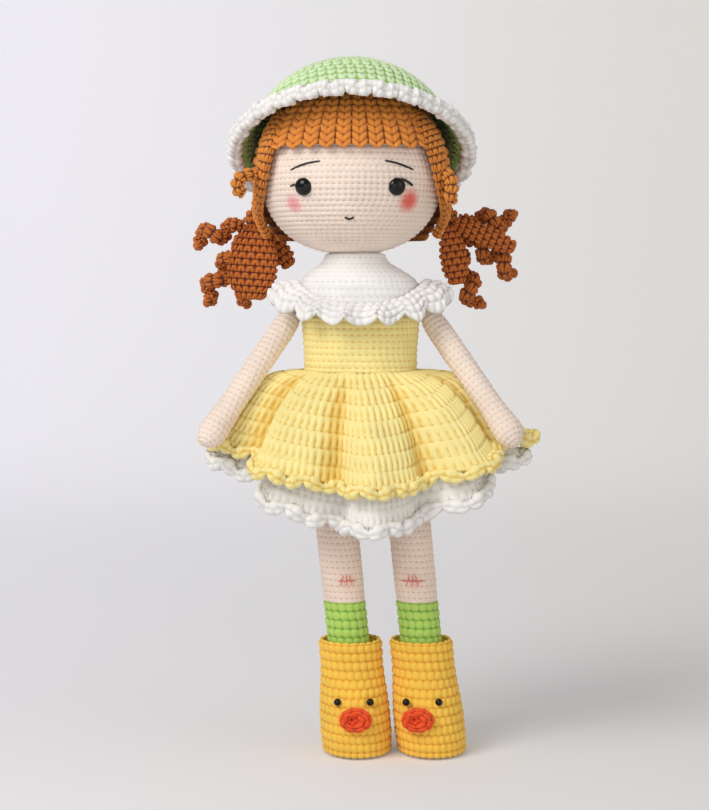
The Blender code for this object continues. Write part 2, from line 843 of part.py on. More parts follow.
def stand_in_the_middle(home, cutters):
    """Move every mesh so that the origin is under the middle of the outline, and return the step."""
    low = [min(c.co[i] for item in home.objects for c in item.data.vertices) for i in range(2)]
    high = [max(c.co[i] for item in home.objects for c in item.data.vertices) for i in range(2)]
    step = Vector((-(low[0] + high[0]) / 2, -(low[1] + high[1]) / 2, 0))
    for item in list(home.objects) + list(cutters.objects):
        item.data.transform(Matrix.Translation(step))
    return step


def hang(name, point, members, home):
    """An empty on a joint's axis, which carries the pieces that move about it or along it."""
    pivot = bpy.data.objects.new(name, None)
    pivot.location = point
    home.objects.link(pivot)
    bpy.context.view_layer.update()
    for member in members:
        item = bpy.data.objects[member]
        item.parent = pivot
        item.matrix_parent_inverse = pivot.matrix_world.inverted()
    print(f"{name}: {[round(value, 5) for value in point]}")


def named(*starts):
    """The names of the pieces whose names start with any of these words."""
    return [item.name for item in bpy.data.objects if item.type == "MESH" and item.name.startswith(starts)]


def make_doll():
    clear_scene()
    home = collection("crocheted doll")
    cutters = collection("cutters")
    make_torso(home)
    make_skirt(home)
    make_ruffle(home)
    make_head(home, cutters)
    make_hair(home, cutters)
    make_locks(home)
    front = front_layer_step
    back = back_layer_step
    right_strips = ((86, 0.95, 1.0, front), (126, 0.62, 0.45, back))
    left_strips = ((23, 0.87, 0.42, front), (81, 0.77, 0.55, front))
    make_pigtail("right", -1, ((18, 0.71), (56, 1.12), (84, 0.98)), right_strips, home)
    make_pigtail("left", 1, ((1, 0.74), (38, 0.99), (71, 1.07)), left_strips, home)
    hat_axis = make_hat(home)
    arm_roots = {}
    for side, label in ((-1, "right"), (1, "left")):
        make_ringlet(label, side, home)
        arm_roots[label] = make_arm(label, side, home)
        make_leg(label, side, home)
        make_boot(label, side, home, cutters)
    step = stand_in_the_middle(home, cutters)
    print("hat axis", [round(value, 5) for value in hat_axis])
    hair = ("wig_cap", "fringe", "side_lock", "temple_curl")
    hang("head_turn", head_centre + step, named("head", "eye_", *hair), home)
    hang("hat_lift_off", head_centre + step, named("hat"), home)
    for side, label in ((-1, "right"), (1, "left")):
        tufts = named("pigtail_knot_" + label, "curl_" + label, "strip_" + label)
        hang("pigtail_swing_" + label, knot_centre(side) + step, tufts, home)
        hang("arm_swing_" + label, arm_roots[label] + step, ["arm_" + label], home)
        hip = Vector((leg_x(hip_hinge_height, side), 0, hip_hinge_height))
        hang("leg_swing_" + label, hip + step, ["leg_" + label, "sock_" + label], home)
        rim = Vector((leg_x(boot_height, side), 0, boot_height))
        boot_names = [n for n in named("boot_", "sole_", "beak_", "duck_eye_") if n.endswith(label)]
        hang("boot_pull_" + label, rim + step, boot_names, home)


make_doll()
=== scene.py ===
# %% [markdown]
# A crocheted doll, dressed stitch by stitch. The solids that carry it are loaded first and stay
# where they are. Each of them is then covered by a crocheted piece whose stitches are real geometry.

# %% Load the solids
import json
import math

import bpy
import numpy as np
from mathutils import Matrix, Vector


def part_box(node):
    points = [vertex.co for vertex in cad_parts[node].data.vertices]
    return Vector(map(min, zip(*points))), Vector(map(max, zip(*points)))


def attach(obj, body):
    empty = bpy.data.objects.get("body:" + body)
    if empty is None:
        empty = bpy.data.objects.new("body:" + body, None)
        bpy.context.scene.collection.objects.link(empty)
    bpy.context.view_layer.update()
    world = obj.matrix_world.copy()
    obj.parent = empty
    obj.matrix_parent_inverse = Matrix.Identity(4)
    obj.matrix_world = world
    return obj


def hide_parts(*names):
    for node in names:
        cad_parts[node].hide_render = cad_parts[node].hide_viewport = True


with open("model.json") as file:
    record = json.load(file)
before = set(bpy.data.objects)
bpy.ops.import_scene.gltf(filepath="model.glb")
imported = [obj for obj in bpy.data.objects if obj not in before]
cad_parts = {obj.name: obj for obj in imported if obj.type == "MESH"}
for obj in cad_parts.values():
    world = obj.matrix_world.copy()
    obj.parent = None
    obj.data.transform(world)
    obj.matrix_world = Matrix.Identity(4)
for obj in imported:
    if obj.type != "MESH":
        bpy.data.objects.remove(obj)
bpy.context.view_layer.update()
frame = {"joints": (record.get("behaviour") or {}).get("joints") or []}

MM = 0.001
TURN = 2 * math.pi

# %% [markdown]
# The finishes come first. Cotton yarn is matt and a little fuzzy. Each crocheted mesh stores how high
# its surface stands within the stitch as an attribute, so that the yarn's material can paint shade
# into the pits, as a darker colour where light is lost between the stitches.

# %% Small helpers for materials


def srgb(hex_value):
    """Turn an sRGB hex value into the linear colour that the shaders want."""
    parts = [int(hex_value[i:i + 2], 16) / 255 for i in (0, 2, 4)]
    linear = [c / 12.92 if c <= 0.04045 else ((c + 0.055) / 1.055) ** 2.4 for c in parts]
    return (*linear, 1.0)


def node(tree, kind, settings=(), **links):
    """Add a node, set its properties, and link or set its inputs by name, or by number as i0, i1."""
    made = tree.nodes.new(kind)
    for name, value in dict(settings).items():
        setattr(made, name, value)
    for name, value in links.items():
        numbered = name[0] == "i" and name[1:].isdigit()
        socket = made.inputs[int(name[1:]) if numbered else name]
        if isinstance(value, bpy.types.NodeSocket):
            tree.links.new(value, socket)
        else:
            socket.default_value = value
    return made


def new_material(name):
    """A material with its node tree and its shader."""
    made = bpy.data.materials.new(name)
    made.use_nodes = True
    tree = made.node_tree
    return made, tree, tree.nodes["Principled BSDF"]


def mixed(tree, share, low, high):
    """Mix two colours, each a hex value or another node's output, by a share from another node."""
    made = node(tree, "ShaderNodeMix", {"data_type": "RGBA"}, i0=share)
    for number, colour in ((6, low), (7, high)):
        if isinstance(colour, str):
            made.inputs[number].default_value = srgb(colour)
        else:
            tree.links.new(colour, made.inputs[number])
    return made.outputs[2]


def shaded(tree, colour, value):
    """Make a colour lighter or darker by a value from another node, where 1 leaves it as it is."""
    return node(tree, "ShaderNodeHueSaturation", {}, Color=colour, Value=value).outputs["Color"]


# %% Cotton yarn
# Fibres are about 0.02 mm, too fine to show, so the fuzz is drawn at 0.35 mm and the plies at 0.9 mm.
FUZZ = 0.35 * MM
PLY = 0.9 * MM
DYE_PATCH = 14 * MM  # the dye takes up a little unevenly over about this length
YARN_ROUGHNESS = 0.85
YARN_SHEEN = 0.12
PIT_SHADE_HEIGHT, FACE_HEIGHT = 0.05, 0.55  # heights in the stitch at which the painted pit shade and the face colour are each pure


def cotton(name, face, painted_pit_shade, spots=()):
    """Mercerised cotton: its face colour on the crowns of the stitches, and a darker pit colour between them that is
    painted shade.

    A spot is powder brushed on, as (centre, radius, colour, strength).
    """
    made, tree, shader = new_material(name)
    place = node(tree, "ShaderNodeTexCoord").outputs["Object"]
    height = node(tree, "ShaderNodeAttribute", {"attribute_name": "height"}).outputs["Fac"]
    deep = node(tree, "ShaderNodeMapRange", {}, Value=height, i1=PIT_SHADE_HEIGHT, i2=FACE_HEIGHT)
    patches = node(tree, "ShaderNodeTexNoise", {}, Vector=place, Scale=1 / DYE_PATCH, Detail=2.0)
    tint = node(tree, "ShaderNodeMapRange", {}, Value=patches.outputs["Fac"],
                i1=0.3, i2=0.7, i3=0.94, i4=1.04)
    # The pit colour is painted shade: the hollows between the stitches get a darker colour.
    colour = shaded(tree, mixed(tree, deep.outputs["Result"], painted_pit_shade, face), tint.outputs["Result"])
    for centre, radius, tone, strength in spots:
        far = node(tree, "ShaderNodeVectorMath", {"operation": "DISTANCE"}, i0=place, i1=centre)
        near = node(tree, "ShaderNodeMapRange", {"interpolation_type": "SMOOTHSTEP"},
                    Value=far.outputs["Value"], i1=radius * 0.2, i2=radius, i3=strength, i4=0.0)
        colour = mixed(tree, near.outputs["Result"], colour, tone)
    tree.links.new(colour, shader.inputs["Base Color"])
    fuzz = node(tree, "ShaderNodeTexNoise", {}, Vector=place, Scale=1 / FUZZ, Detail=3.0)
    ply = node(tree, "ShaderNodeTexNoise", {}, Vector=place, Scale=1 / PLY, Detail=1.0)
    fuzzy = node(tree, "ShaderNodeBump", {}, Strength=0.35, Distance=FUZZ / 2,
                 Height=fuzz.outputs["Fac"]).outputs["Normal"]
    plied = node(tree, "ShaderNodeBump", {}, Strength=0.3, Distance=PLY / 4,
                 Height=ply.outputs["Fac"], Normal=fuzzy).outputs["Normal"]
    tree.links.new(plied, shader.inputs["Normal"])
    shader.inputs["Roughness"].default_value = YARN_ROUGHNESS
    shader.inputs["Sheen Weight"].default_value = YARN_SHEEN
    shader.inputs["Sheen Roughness"].default_value = 0.5
    return made


SKIN = cotton("skin cotton", "F7E6D8", "D9B798")
WHITE = cotton("white cotton", "F6F5F3", "DAD7D0")
YELLOW = cotton("lemon cotton", "FDEDA0", "E8B83A")
BOOT = cotton("egg yolk cotton", "FFCE4E", "DE941C")
GREEN = cotton("apple green cotton", "DEF5C4", "8CB660")
SOCK = cotton("spring green cotton", "BBDF6A", "4F9A22")
HAIR = cotton("ginger cotton", "E69038", "652A08")
# A darker copy of the ginger yarn: painted shade for the bunches of the pigtails.
HAIR_IN_SHADE = cotton("ginger cotton, deeper in the bunches", "CB6F26", "591E04")
BEAK = cotton("orange cotton", "F8561A", "A01C06")
THREAD = cotton("black embroidery thread", "2A2422", "0C0A0A")
CORAL = cotton("coral embroidery thread", "E58A78", "C05A4C")
print("yarns:", len([m for m in bpy.data.materials if "cotton" in m.name]))

# %% Glossy plastic
# Safety eyes are moulded and polished, with faint handling marks that only the highlights show.
HANDLING_MARK = 1.2 * MM
PLASTIC, plastic_tree, plastic_shader = new_material("glossy black plastic")
plastic_place = node(plastic_tree, "ShaderNodeTexCoord").outputs["Object"]
marks = node(plastic_tree, "ShaderNodeTexNoise", {}, Vector=plastic_place,
             Scale=1 / HANDLING_MARK, Detail=3.0)
polish = node(plastic_tree, "ShaderNodeMapRange", {}, Value=marks.outputs["Fac"], i3=0.05, i4=0.13)
plastic_tree.links.new(polish.outputs["Result"], plastic_shader.inputs["Roughness"])
plastic_shader.inputs["Base Color"].default_value = srgb("060908")
plastic_shader.inputs["IOR"].default_value = 1.40

# %% [markdown]
# Crocheted fabric is a grid of stitches. A flat grid primitive is added with enough faces for each
# stitch, rolled onto its form by a formula, and lifted by the height of one stitch, repeated.

# %% The height of each kind of stitch
# In a stitch, a runs across from 0 to 1 and b up from 0 to 1, and a height is 0 in a pit and 1 on top.


def single_crochet(a, b):
    """One stitch seen from the front: two legs of yarn that meet at its foot, like a V."""
    spread, foot, strand = 0.27, 0.05, 0.2
    left = np.abs(a - (0.5 - spread * b - foot))
    right = np.abs(a - (0.5 + spread * b + foot))
    legs = np.exp(-((np.minimum(left, right) / strand) ** 2))
    return legs * np.clip(np.sin(math.pi * np.clip(b, 0, 1)), 0, 1) ** 0.45


def seam_and_groove(a, b, reach):
    """How near a point is to the seam beside its stitch and to the groove under its row."""
    return (0.5 + 0.5 * np.cos(TURN * a)) ** 2, np.exp(-((np.minimum(b, 1 - b) / reach) ** 2))


def close_crochet(a, b):
    """A tight, nearly flat stitch: a groove under it, a faint seam beside it, a pit where they cross."""
    seam, groove = seam_and_groove(a, b, 0.18)
    return 1 - groove * (0.54 + 0.40 * seam) - 0.32 * seam * (1 - groove)


def double_crochet(a, b):
    """A tall plump post. It parts from its neighbour in the lower half and runs into it near its top."""
    seam, groove = seam_and_groove(a, b, 0.09)
    parting = 0.22 + 0.62 * np.exp(-(((b - 0.36) / 0.27) ** 2))
    return np.clip(1 - seam * parting - groove * (0.42 + 0.2 * seam), 0, 1)


def brick(a, b):
    """A plump stitch of thick yarn, nearly square, with a slanting strand across it."""
    seam, groove = seam_and_groove(a, b, 0.17)
    plump = np.clip(1 - 0.6 * seam - 0.72 * groove + 0.38 * seam * groove, 0, 1)
    return plump * (0.93 + 0.07 * np.sin(TURN * (a + 0.6 * b)))


def rib(a, b):
    """Rows of hair worked upright: each stitch is two slanting strands on a broad rib, pulled in below."""
    across = 0.35 + 0.65 * np.clip(np.sin(math.pi * a), 0, 1) ** 0.5
    slant = (b + 0.5 * (1 - np.abs(2 * a - 1))) % 1.0
    strands = np.clip(np.sin(math.pi * slant), 0, 1) ** 0.5
    split = 1 - 0.45 * np.exp(-(((a - 0.5) / 0.08) ** 2))
    edge = np.clip(np.minimum(a, 1 - a) / 0.07, 0, 1)
    return across * strands * split * edge


# %% Crochet a piece
UNEVEN = 0.07  # no two stitches are pulled equally tight, by up to this share
SCATTER = (12.9898, 78.233)  # steps that have no pattern from one stitch, or row, to the next
ON_FORM = 0.75  # the height in a stitch that lies on the form itself
FOLD_SHADE_SHARE = 0.68  # painted shade: the share of its pale colour that a stitch in a fold loses, through its height in the colour


def frame_of(form, u, v):
    """Points of a form and its outward normals, from small steps along and up the fabric."""
    step = 1e-4
    along = form(u + step, v) - form(u - step, v)
    up = form(u, np.minimum(v + step, 1)) - form(u, np.maximum(v - step, 0))
    normal = np.cross(along, up)
    length = np.linalg.norm(normal, axis=1, keepdims=True)
    return form(u, v), normal / np.maximum(length, 1e-12)


def rows_of(form, rows, stitch_width):
    """How many stitches each row has, from its length round the form."""
    fewest = 5
    turns = np.linspace(0, 1, 121)
    counts = []
    for row in range(rows):
        ring = form(turns, np.full_like(turns, (row + 0.5) / rows))
        length = np.linalg.norm(np.diff(ring, axis=0), axis=1).sum()
        counts.append(max(fewest, round(length / stitch_width)))
    return np.array(counts)


def crochet(name, form, rows, width, depth, stitch, yarn,
            fine=(5, 5), drift=0.35, wall=0.0, count=0, gap=None, fold_shade=None):
    """Roll a grid of stitches onto a form. width is one stitch, depth how far its yarn stands out.

    fine is the faces across and up each stitch, drift how far each row steps past the one below, and
    wall the thickness of a fabric whose back shows. count fixes the stitches of every row, gap is a
    test of points where the fabric is left open, and the fold shade, from 0 to 1, says how deep in a
    fold the fabric lies, and so how much shade is painted there as a deeper colour.
    """
    counts = np.full(rows, count) if count else rows_of(form, rows, width)
    columns = int(counts.max()) * fine[0]
    bpy.ops.mesh.primitive_grid_add(x_subdivisions=columns, y_subdivisions=rows * fine[1], size=1)
    piece = bpy.context.object
    piece.name = name
    mesh = piece.data
    flat = np.empty(len(mesh.vertices) * 3)
    mesh.vertices.foreach_get("co", flat)
    flat = flat.reshape(-1, 3)
    u, v = flat[:, 0] + 0.5, flat[:, 1] + 0.5
    row = np.clip(np.floor(v * rows).astype(int), 0, rows - 1)
    a = (u * counts[row] + row * drift) % 1.0
    b = v * rows - row
    cell = np.floor(u * counts[row] + row * drift) % counts[row]
    tension = 1 + UNEVEN * np.sin(cell * SCATTER[0] + row * SCATTER[1])
    height = stitch(a, b) * tension
    point, normal = frame_of(form, u, v)
    point = point + normal * (height[:, None] - ON_FORM) * depth
    mesh.vertices.foreach_set("co", point.ravel())
    if fold_shade is not None:
        # Painted shade: a stitch deep in a fold gets a deeper colour.
        height = height * (1 - FOLD_SHADE_SHARE * fold_shade(u, v))
    mesh.attributes.new("height", "FLOAT", "POINT").data.foreach_set("value", height)
    mesh.update()
    bpy.ops.object.mode_set(mode="EDIT")
    bpy.ops.mesh.select_all(action="SELECT")
    bpy.ops.mesh.remove_doubles(threshold=depth / 40)
    if gap is not None:
        bpy.ops.mesh.select_all(action="DESELECT")
        bpy.ops.object.mode_set(mode="OBJECT")
        places = np.empty(len(mesh.vertices) * 3)
        mesh.vertices.foreach_get("co", places)
        mesh.vertices.foreach_set("select", gap(places.reshape(-1, 3)))
        bpy.ops.object.mode_set(mode="EDIT")
        bpy.ops.mesh.delete(type="VERT")
    bpy.ops.object.mode_set(mode="OBJECT")
    if wall:
        shell = piece.modifiers.new("Wall", "SOLIDIFY")
        shell.thickness = wall
        shell.offset = -1
        bpy.ops.object.modifier_apply(modifier="Wall")
    bpy.ops.object.shade_smooth()
    mesh.materials.clear()
    mesh.materials.append(yarn)
    print(f"{name}: {rows} rows of up to {counts.max()} stitches, {len(mesh.polygons)} faces")
    return piece


def dress(piece, body, slot, *nodes, fill=None):
    """Let a piece ride on its body and stand for its solids, which are hidden. The slot is not used."""
    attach(piece, body)
    if nodes:
        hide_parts(*nodes)


# %% [markdown]
# Forms. A form is a function of two shares: u goes once round the piece, seen from above against
# the clock, and v goes up it. Stuffed pieces are stacks of ovals, and hair is a tube along a route.

# %% Stacked ovals and tubes


def rounded(points):
    """Cut the corners of a list of rows, twice over, so that straight runs flow into each other."""
    line = np.array(points, float)
    for _ in range(2):
        near = line[:-1] * 0.75 + line[1:] * 0.25
        far = line[:-1] * 0.25 + line[1:] * 0.75
        middle = np.stack([near, far], axis=1).reshape(-1, line.shape[1])
        line = np.vstack([line[:1], middle, line[-1:]])
    return line


def by_length(line, reach):
    """Shares from 0 to 1 along a line, by the length that its columns in reach cover."""
    steps = np.linalg.norm(np.diff(line[:, reach], axis=0), axis=1)
    walked = np.concatenate([[0], np.cumsum(steps)])
    return walked / walked[-1]


def stack(rings, place=None):
    """A form through level ovals, each (height, half width, half depth, middle x, middle y)."""
    line = rounded(rings)
    share = by_length(line, [0, 1, 2])

    def form(u, v):
        z, rx, ry, cx, cy = (np.interp(v, share, line[:, i]) for i in range(5))
        points = np.stack([cx + rx * np.cos(TURN * u), cy + ry * np.sin(TURN * u), z], axis=1)
        return place(points) if place else points

    return form


def carried(start, heading):
    """The place function that lays the Z axis along a heading from a start."""
    turn = np.array(Vector((0, 0, 1)).rotation_difference(Vector(heading)).to_matrix())
    return lambda points: points @ turn.T + np.array(start)


def tube(route, radii, thick=None, facing=None, cup=0.0, closed=False):
    """A form along a route of points. A closed route runs along u and wraps round with v.

    A band has its half thickness in thick, shows its flat side the facing way, and its edges come
    forward by cup.
    """
    route = np.array(route, float)
    radii = np.broadcast_to(radii, len(route)).astype(float)
    thick = radii if thick is None else np.broadcast_to(thick, len(route)).astype(float)
    tangent = np.gradient(route, axis=0)
    if closed:
        tangent = np.roll(route, -1, axis=0) - np.roll(route, 1, axis=0)
    tangent /= np.linalg.norm(tangent, axis=1, keepdims=True)
    if facing is not None:
        sides = np.cross(np.broadcast_to(facing, route.shape), tangent)
    elif closed:
        sides = np.cross(tangent, np.cross(np.array([0, 0, 1.0]), tangent))
    else:
        askew = (0.31, 0.87, 0.38)  # a direction that none of the threads starts along
        side = np.cross(tangent[0], askew)
        sides = []
        for way in tangent:
            side = side - way * side.dot(way)
            side /= np.linalg.norm(side)
            sides.append(side)
        sides = np.array(sides)
    sides /= np.linalg.norm(sides, axis=1, keepdims=True)
    others = np.cross(tangent, sides)
    share = np.linspace(0, 1, len(route) + closed)

    def at(values, where):
        ring = np.vstack([values, values[:1]]) if closed else values
        return np.stack([np.interp(where, share, ring[:, i]) for i in range(ring.shape[1])], axis=1)

    def form(u, v):
        along, around = (u % 1.0, -v) if closed else (v, u)
        turn = TURN * around
        wide = at(radii[:, None], along) * np.cos(turn)[:, None]
        high = at(thick[:, None], along) * np.sin(turn)[:, None]
        high = high + cup * np.cos(turn)[:, None] ** 2
        return at(route, along) + at(sides, along) * wide + at(others, along) * high

    return form


# %% Places that all pieces share
SIDES = {"left": 1, "right": -1}  # the doll's own left lies along X


def joint_place(name):
    return next(joint["pos_m"] for joint in frame["joints"] if joint["name"] == name)


def centre_of(node_name):
    """The middle of a solid's box."""
    low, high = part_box(node_name)
    return (np.array(low) + np.array(high)) / 2


bodice_low, bodice_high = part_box("bodice")
MIDDLE = np.array([(bodice_low.x + bodice_high.x) / 2, (bodice_low.y + bodice_high.y) / 2])
waist = bodice_low.z
head_low, head_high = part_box("head")
HEAD_HALF = np.array([41.5, 39.0, 41.0]) * MM
HEAD = np.array([
    (head_low.x + head_high.x) / 2, (head_low.y + head_high.y) / 2, head_high.z - HEAD_HALF[2]
])
print("middle of the body", MIDDLE.round(4), "middle of the head", HEAD.round(4))

# %% [markdown]
# The head. It is worked in a spiral from the crown down, stuffed hard, and settles into a wide round
# face with a flattened chin. An ellipsoid with fuller lower corners gives that outline.

# %% Head
JAW_FULLNESS = 0.82  # the power of an oval: 1 is an ellipse, and less has fuller corners
CHIN_DROP = 0.86  # the lower half's height as a share of the upper half's
SKIN_STITCH = 2.7 * MM


def head_form(u, v):
    lift = math.pi * (v - 0.5)
    low = np.sin(lift) < 0
    level = np.cos(lift).clip(1e-9) ** np.where(low, JAW_FULLNESS, 1.0)
    height = np.where(low, HEAD_HALF[2] * CHIN_DROP, HEAD_HALF[2]) * np.sin(lift)
    turn = TURN * u
    x = HEAD[0] + HEAD_HALF[0] * level * np.cos(turn)
    y = HEAD[1] + HEAD_HALF[1] * level * np.sin(turn)
    return np.stack([x, y, HEAD[2] + height], axis=1)


def face_point(x, z, away=0.0):
    """A point on the front of the face, this far across and above the head's middle."""
    half = HEAD_HALF + away
    lower = z < 0
    share = z / (half[2] * CHIN_DROP) if lower else z / half[2]
    level = (1 - share**2) ** (JAW_FULLNESS / 2 if lower else 0.5)
    return HEAD + np.array([x, -half[1] * math.sqrt(level**2 - (x / half[0]) ** 2), z])


rouge = [
    (tuple(face_point(-25.6 * MM, -13.5 * MM)), 6.0 * MM, "EF8F98", 0.8),
    (tuple(face_point(25.3 * MM, -12.2 * MM)), 7.4 * MM, "E65440", 0.9),
]
FACE = cotton("skin cotton with rouge", "F7E6D8", "CFAD8C", rouge)
head = crochet("head_crochet", head_form, 44, SKIN_STITCH, 0.8 * MM, close_crochet, FACE, drift=0.2)
dress(head, "head", "skin_yarn", "head", fill=0.95)

# %% [markdown]
# The face. Two safety eyes are pressed into the wool, and the brows, lashes and mouth are single
# threads. They are tubes of thread that lie on the face, no thicker than a strand.

# %% Face
RIM_HEIGHT = 0.6  # how high in a stitch a closed end counts as, for its colour


def twist(a, b):
    """A thread's two plies, wound round each other."""
    return 0.75 + 0.25 * np.sin(TURN * (a + b))


def close_ends(piece):
    """Fill the open rings at a tube's two ends."""
    bpy.ops.object.select_all(action="DESELECT")
    piece.select_set(True)
    bpy.context.view_layer.objects.active = piece
    bpy.ops.object.mode_set(mode="EDIT")
    bpy.ops.mesh.select_all(action="SELECT")
    bpy.ops.mesh.region_to_loop()
    bpy.ops.object.mode_set(mode="OBJECT")
    rim = [vertex.index for vertex in piece.data.vertices if vertex.select]
    bpy.ops.object.mode_set(mode="EDIT")
    bpy.ops.mesh.edge_face_add()
    bpy.ops.mesh.poke()
    bpy.ops.mesh.select_all(action="SELECT")
    bpy.ops.mesh.normals_make_consistent(inside=False)
    bpy.ops.object.mode_set(mode="OBJECT")
    height = piece.data.attributes["height"].data
    caps = [len(height) - 2, len(height) - 1]  # the middles that poke added
    for index in rim + caps:
        height[index].value = RIM_HEIGHT


def embroider(name, points, radius, yarn, body):
    """One thread along a line of points, a little thinner at its ends."""
    route = rounded(points)
    swell = np.interp(np.linspace(0, 1, len(route)), [0, 0.2, 0.8, 1], [0.55, 1, 1, 0.55])
    piece = crochet(name, tube(route, radius * swell), 8, 0, radius * 0.25, twist, yarn,
                    fine=(6, 3), drift=0, count=2)
    close_ends(piece)
    dress(piece, body, None)


EYE_RADIUS = 3.95 * MM
EYE_FLATNESS = 0.68
EYE_ACROSS = {"left": 19.8 * MM, "right": -21.1 * MM}
EYE_RISE = -6.2 * MM


def polished(name, radius, segments, placing, body, node_name):
    """A ball of glossy plastic, placed by a matrix that may also flatten it."""
    bpy.ops.mesh.primitive_uv_sphere_add(segments=segments, ring_count=segments // 2, radius=radius)
    made = bpy.context.object
    made.name = name
    made.data.transform(placing)
    bpy.ops.object.shade_smooth()
    made.data.materials.append(PLASTIC)
    dress(made, body, "black_plastic", node_name)


for side in ("right", "left"):
    seat = face_point(EYE_ACROSS[side], EYE_RISE, 0.1 * MM)
    normal = Vector((seat - HEAD) / HEAD_HALF**2).normalized()
    flatten = Matrix.Diagonal((1, 1, EYE_FLATNESS, 1))
    facing = Vector((0, 0, 1)).rotation_difference(normal).to_matrix().to_4x4()
    placing = Matrix.Translation(seat) @ facing @ flatten
    polished("eye_dome_" + side, EYE_RADIUS, 48, placing, "head", "eye_" + side)

THREAD_AWAY = 0.25 * MM
LINES = {
    "brow_right": ([(-26.8, 1.2), (-20.9, 3.8), (-13.7, 4.8)], 0.44),
    "brow_left": ([(14.6, 5.0), (20.3, 4.0), (27.0, 1.4)], 0.48),
    "lash_right": ([(-27.0, -5.9), (-25.8, -5.3), (-24.2, -5.2)], 0.42),
    "lash_left": ([(21.6, -2.8), (24.2, -3.6), (26.8, -5.6)], 0.6),
    "mouth": ([(-3.0, -19.5), (-1.0, -20.5), (1.0, -19.5)], 0.5),
}
for name, (spots, radius) in LINES.items():
    points = [face_point(x * MM, z * MM, THREAD_AWAY) for x, z in spots]
    embroider(name + "_thread", points, radius * MM, THREAD, "head")

# %% [markdown]
# Body, neck and shoulders. The blouse is worked straight onto the body in white, so its yoke is the
# body's own outline. The bodice is the same tube in lemon.

# %% Body


def level(z, rx, ry, x=0.0):
    """A level ring about the middle of the body, moved sideways by x."""
    return (z, rx, ry, MIDDLE[0] + x, MIDDLE[1])


shoulders_low, shoulders_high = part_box("shoulders")
NECK = HEAD[0] - MIDDLE[0]  # the head sits this far to one side
yoke_height = head_low.z - shoulders_low.z
yoke = stack([
    level(shoulders_low.z, 2 * MM, 2 * MM),
    level(shoulders_low.z, 26.6 * MM, 19.4 * MM),
    level(shoulders_low.z + yoke_height * 0.52, 27 * MM, 19.7 * MM),
    level(shoulders_low.z + yoke_height * 0.66, 26.2 * MM, 19.4 * MM, NECK * 0.2),
    level(shoulders_low.z + yoke_height * 0.80, 20.4 * MM, 17 * MM, NECK * 0.4),
    level(shoulders_low.z + yoke_height * 0.92, 14.6 * MM, 13.8 * MM, NECK * 0.6),
    level(head_low.z + 2 * MM, 13.4 * MM, 13.0 * MM, NECK * 0.6),
    level(head_low.z + 2.2 * MM, 2 * MM, 2 * MM, NECK * 0.6),
])
blouse = crochet("blouse_yoke", yoke, 23, SKIN_STITCH, 0.6 * MM, close_crochet, WHITE, drift=0.2)
dress(blouse, "torso", "white_yarn", "shoulders", "neck", fill=0.9)

bodice_form = stack([
    level(waist - 3 * MM, 2 * MM, 2 * MM),
    level(waist - 3 * MM, 25.9 * MM, 18.9 * MM),
    level(waist + 9 * MM, 25.5 * MM, 18.6 * MM),
    level(bodice_high.z - 4 * MM, 26.4 * MM, 19.2 * MM),
    level(bodice_high.z + 6 * MM, 27.0 * MM, 19.9 * MM),
    level(bodice_high.z + 6 * MM, 2 * MM, 2 * MM),
])
bodice = crochet("bodice_crochet", bodice_form, 29, 2.8 * MM, 1.0 * MM, close_crochet, YELLOW,
                 drift=0.2)
dress(bodice, "torso", "yellow_yarn", "bodice", fill=0.9)

hips_low, hips_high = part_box("hips")
hip_form = stack([
    level(hips_low.z, 2 * MM, 2 * MM),
    level(hips_low.z, 20 * MM, 13 * MM),
    level((hips_low.z + hips_high.z) / 2, 25 * MM, 15.7 * MM),
    level(hips_high.z, 24 * MM, 15.4 * MM),
    level(hips_high.z, 2 * MM, 2 * MM),
])
hips = crochet("hips_crochet", hip_form, 20, 2.9 * MM, 0.4 * MM, single_crochet, SKIN, fine=(3, 3))
dress(hips, "torso", "skin_yarn", "hips", fill=0.9)

# %% [markdown]
# Legs and socks lean to the doll's left as they go down, as they do in the photograph.

# %% Legs and socks
LEAN = 0.10  # how far a leg goes sideways for each step down
HINGE = 146 * MM  # the height of the hips' hinges


def leaning(joint_name):
    """A function for level rings on a leg, which leans along X below its hinge."""
    x, y, _ = joint_place(joint_name)
    return lambda z, rx, ry, forward=0.0: (z, rx, ry, x + LEAN * (HINGE - z), y - forward)


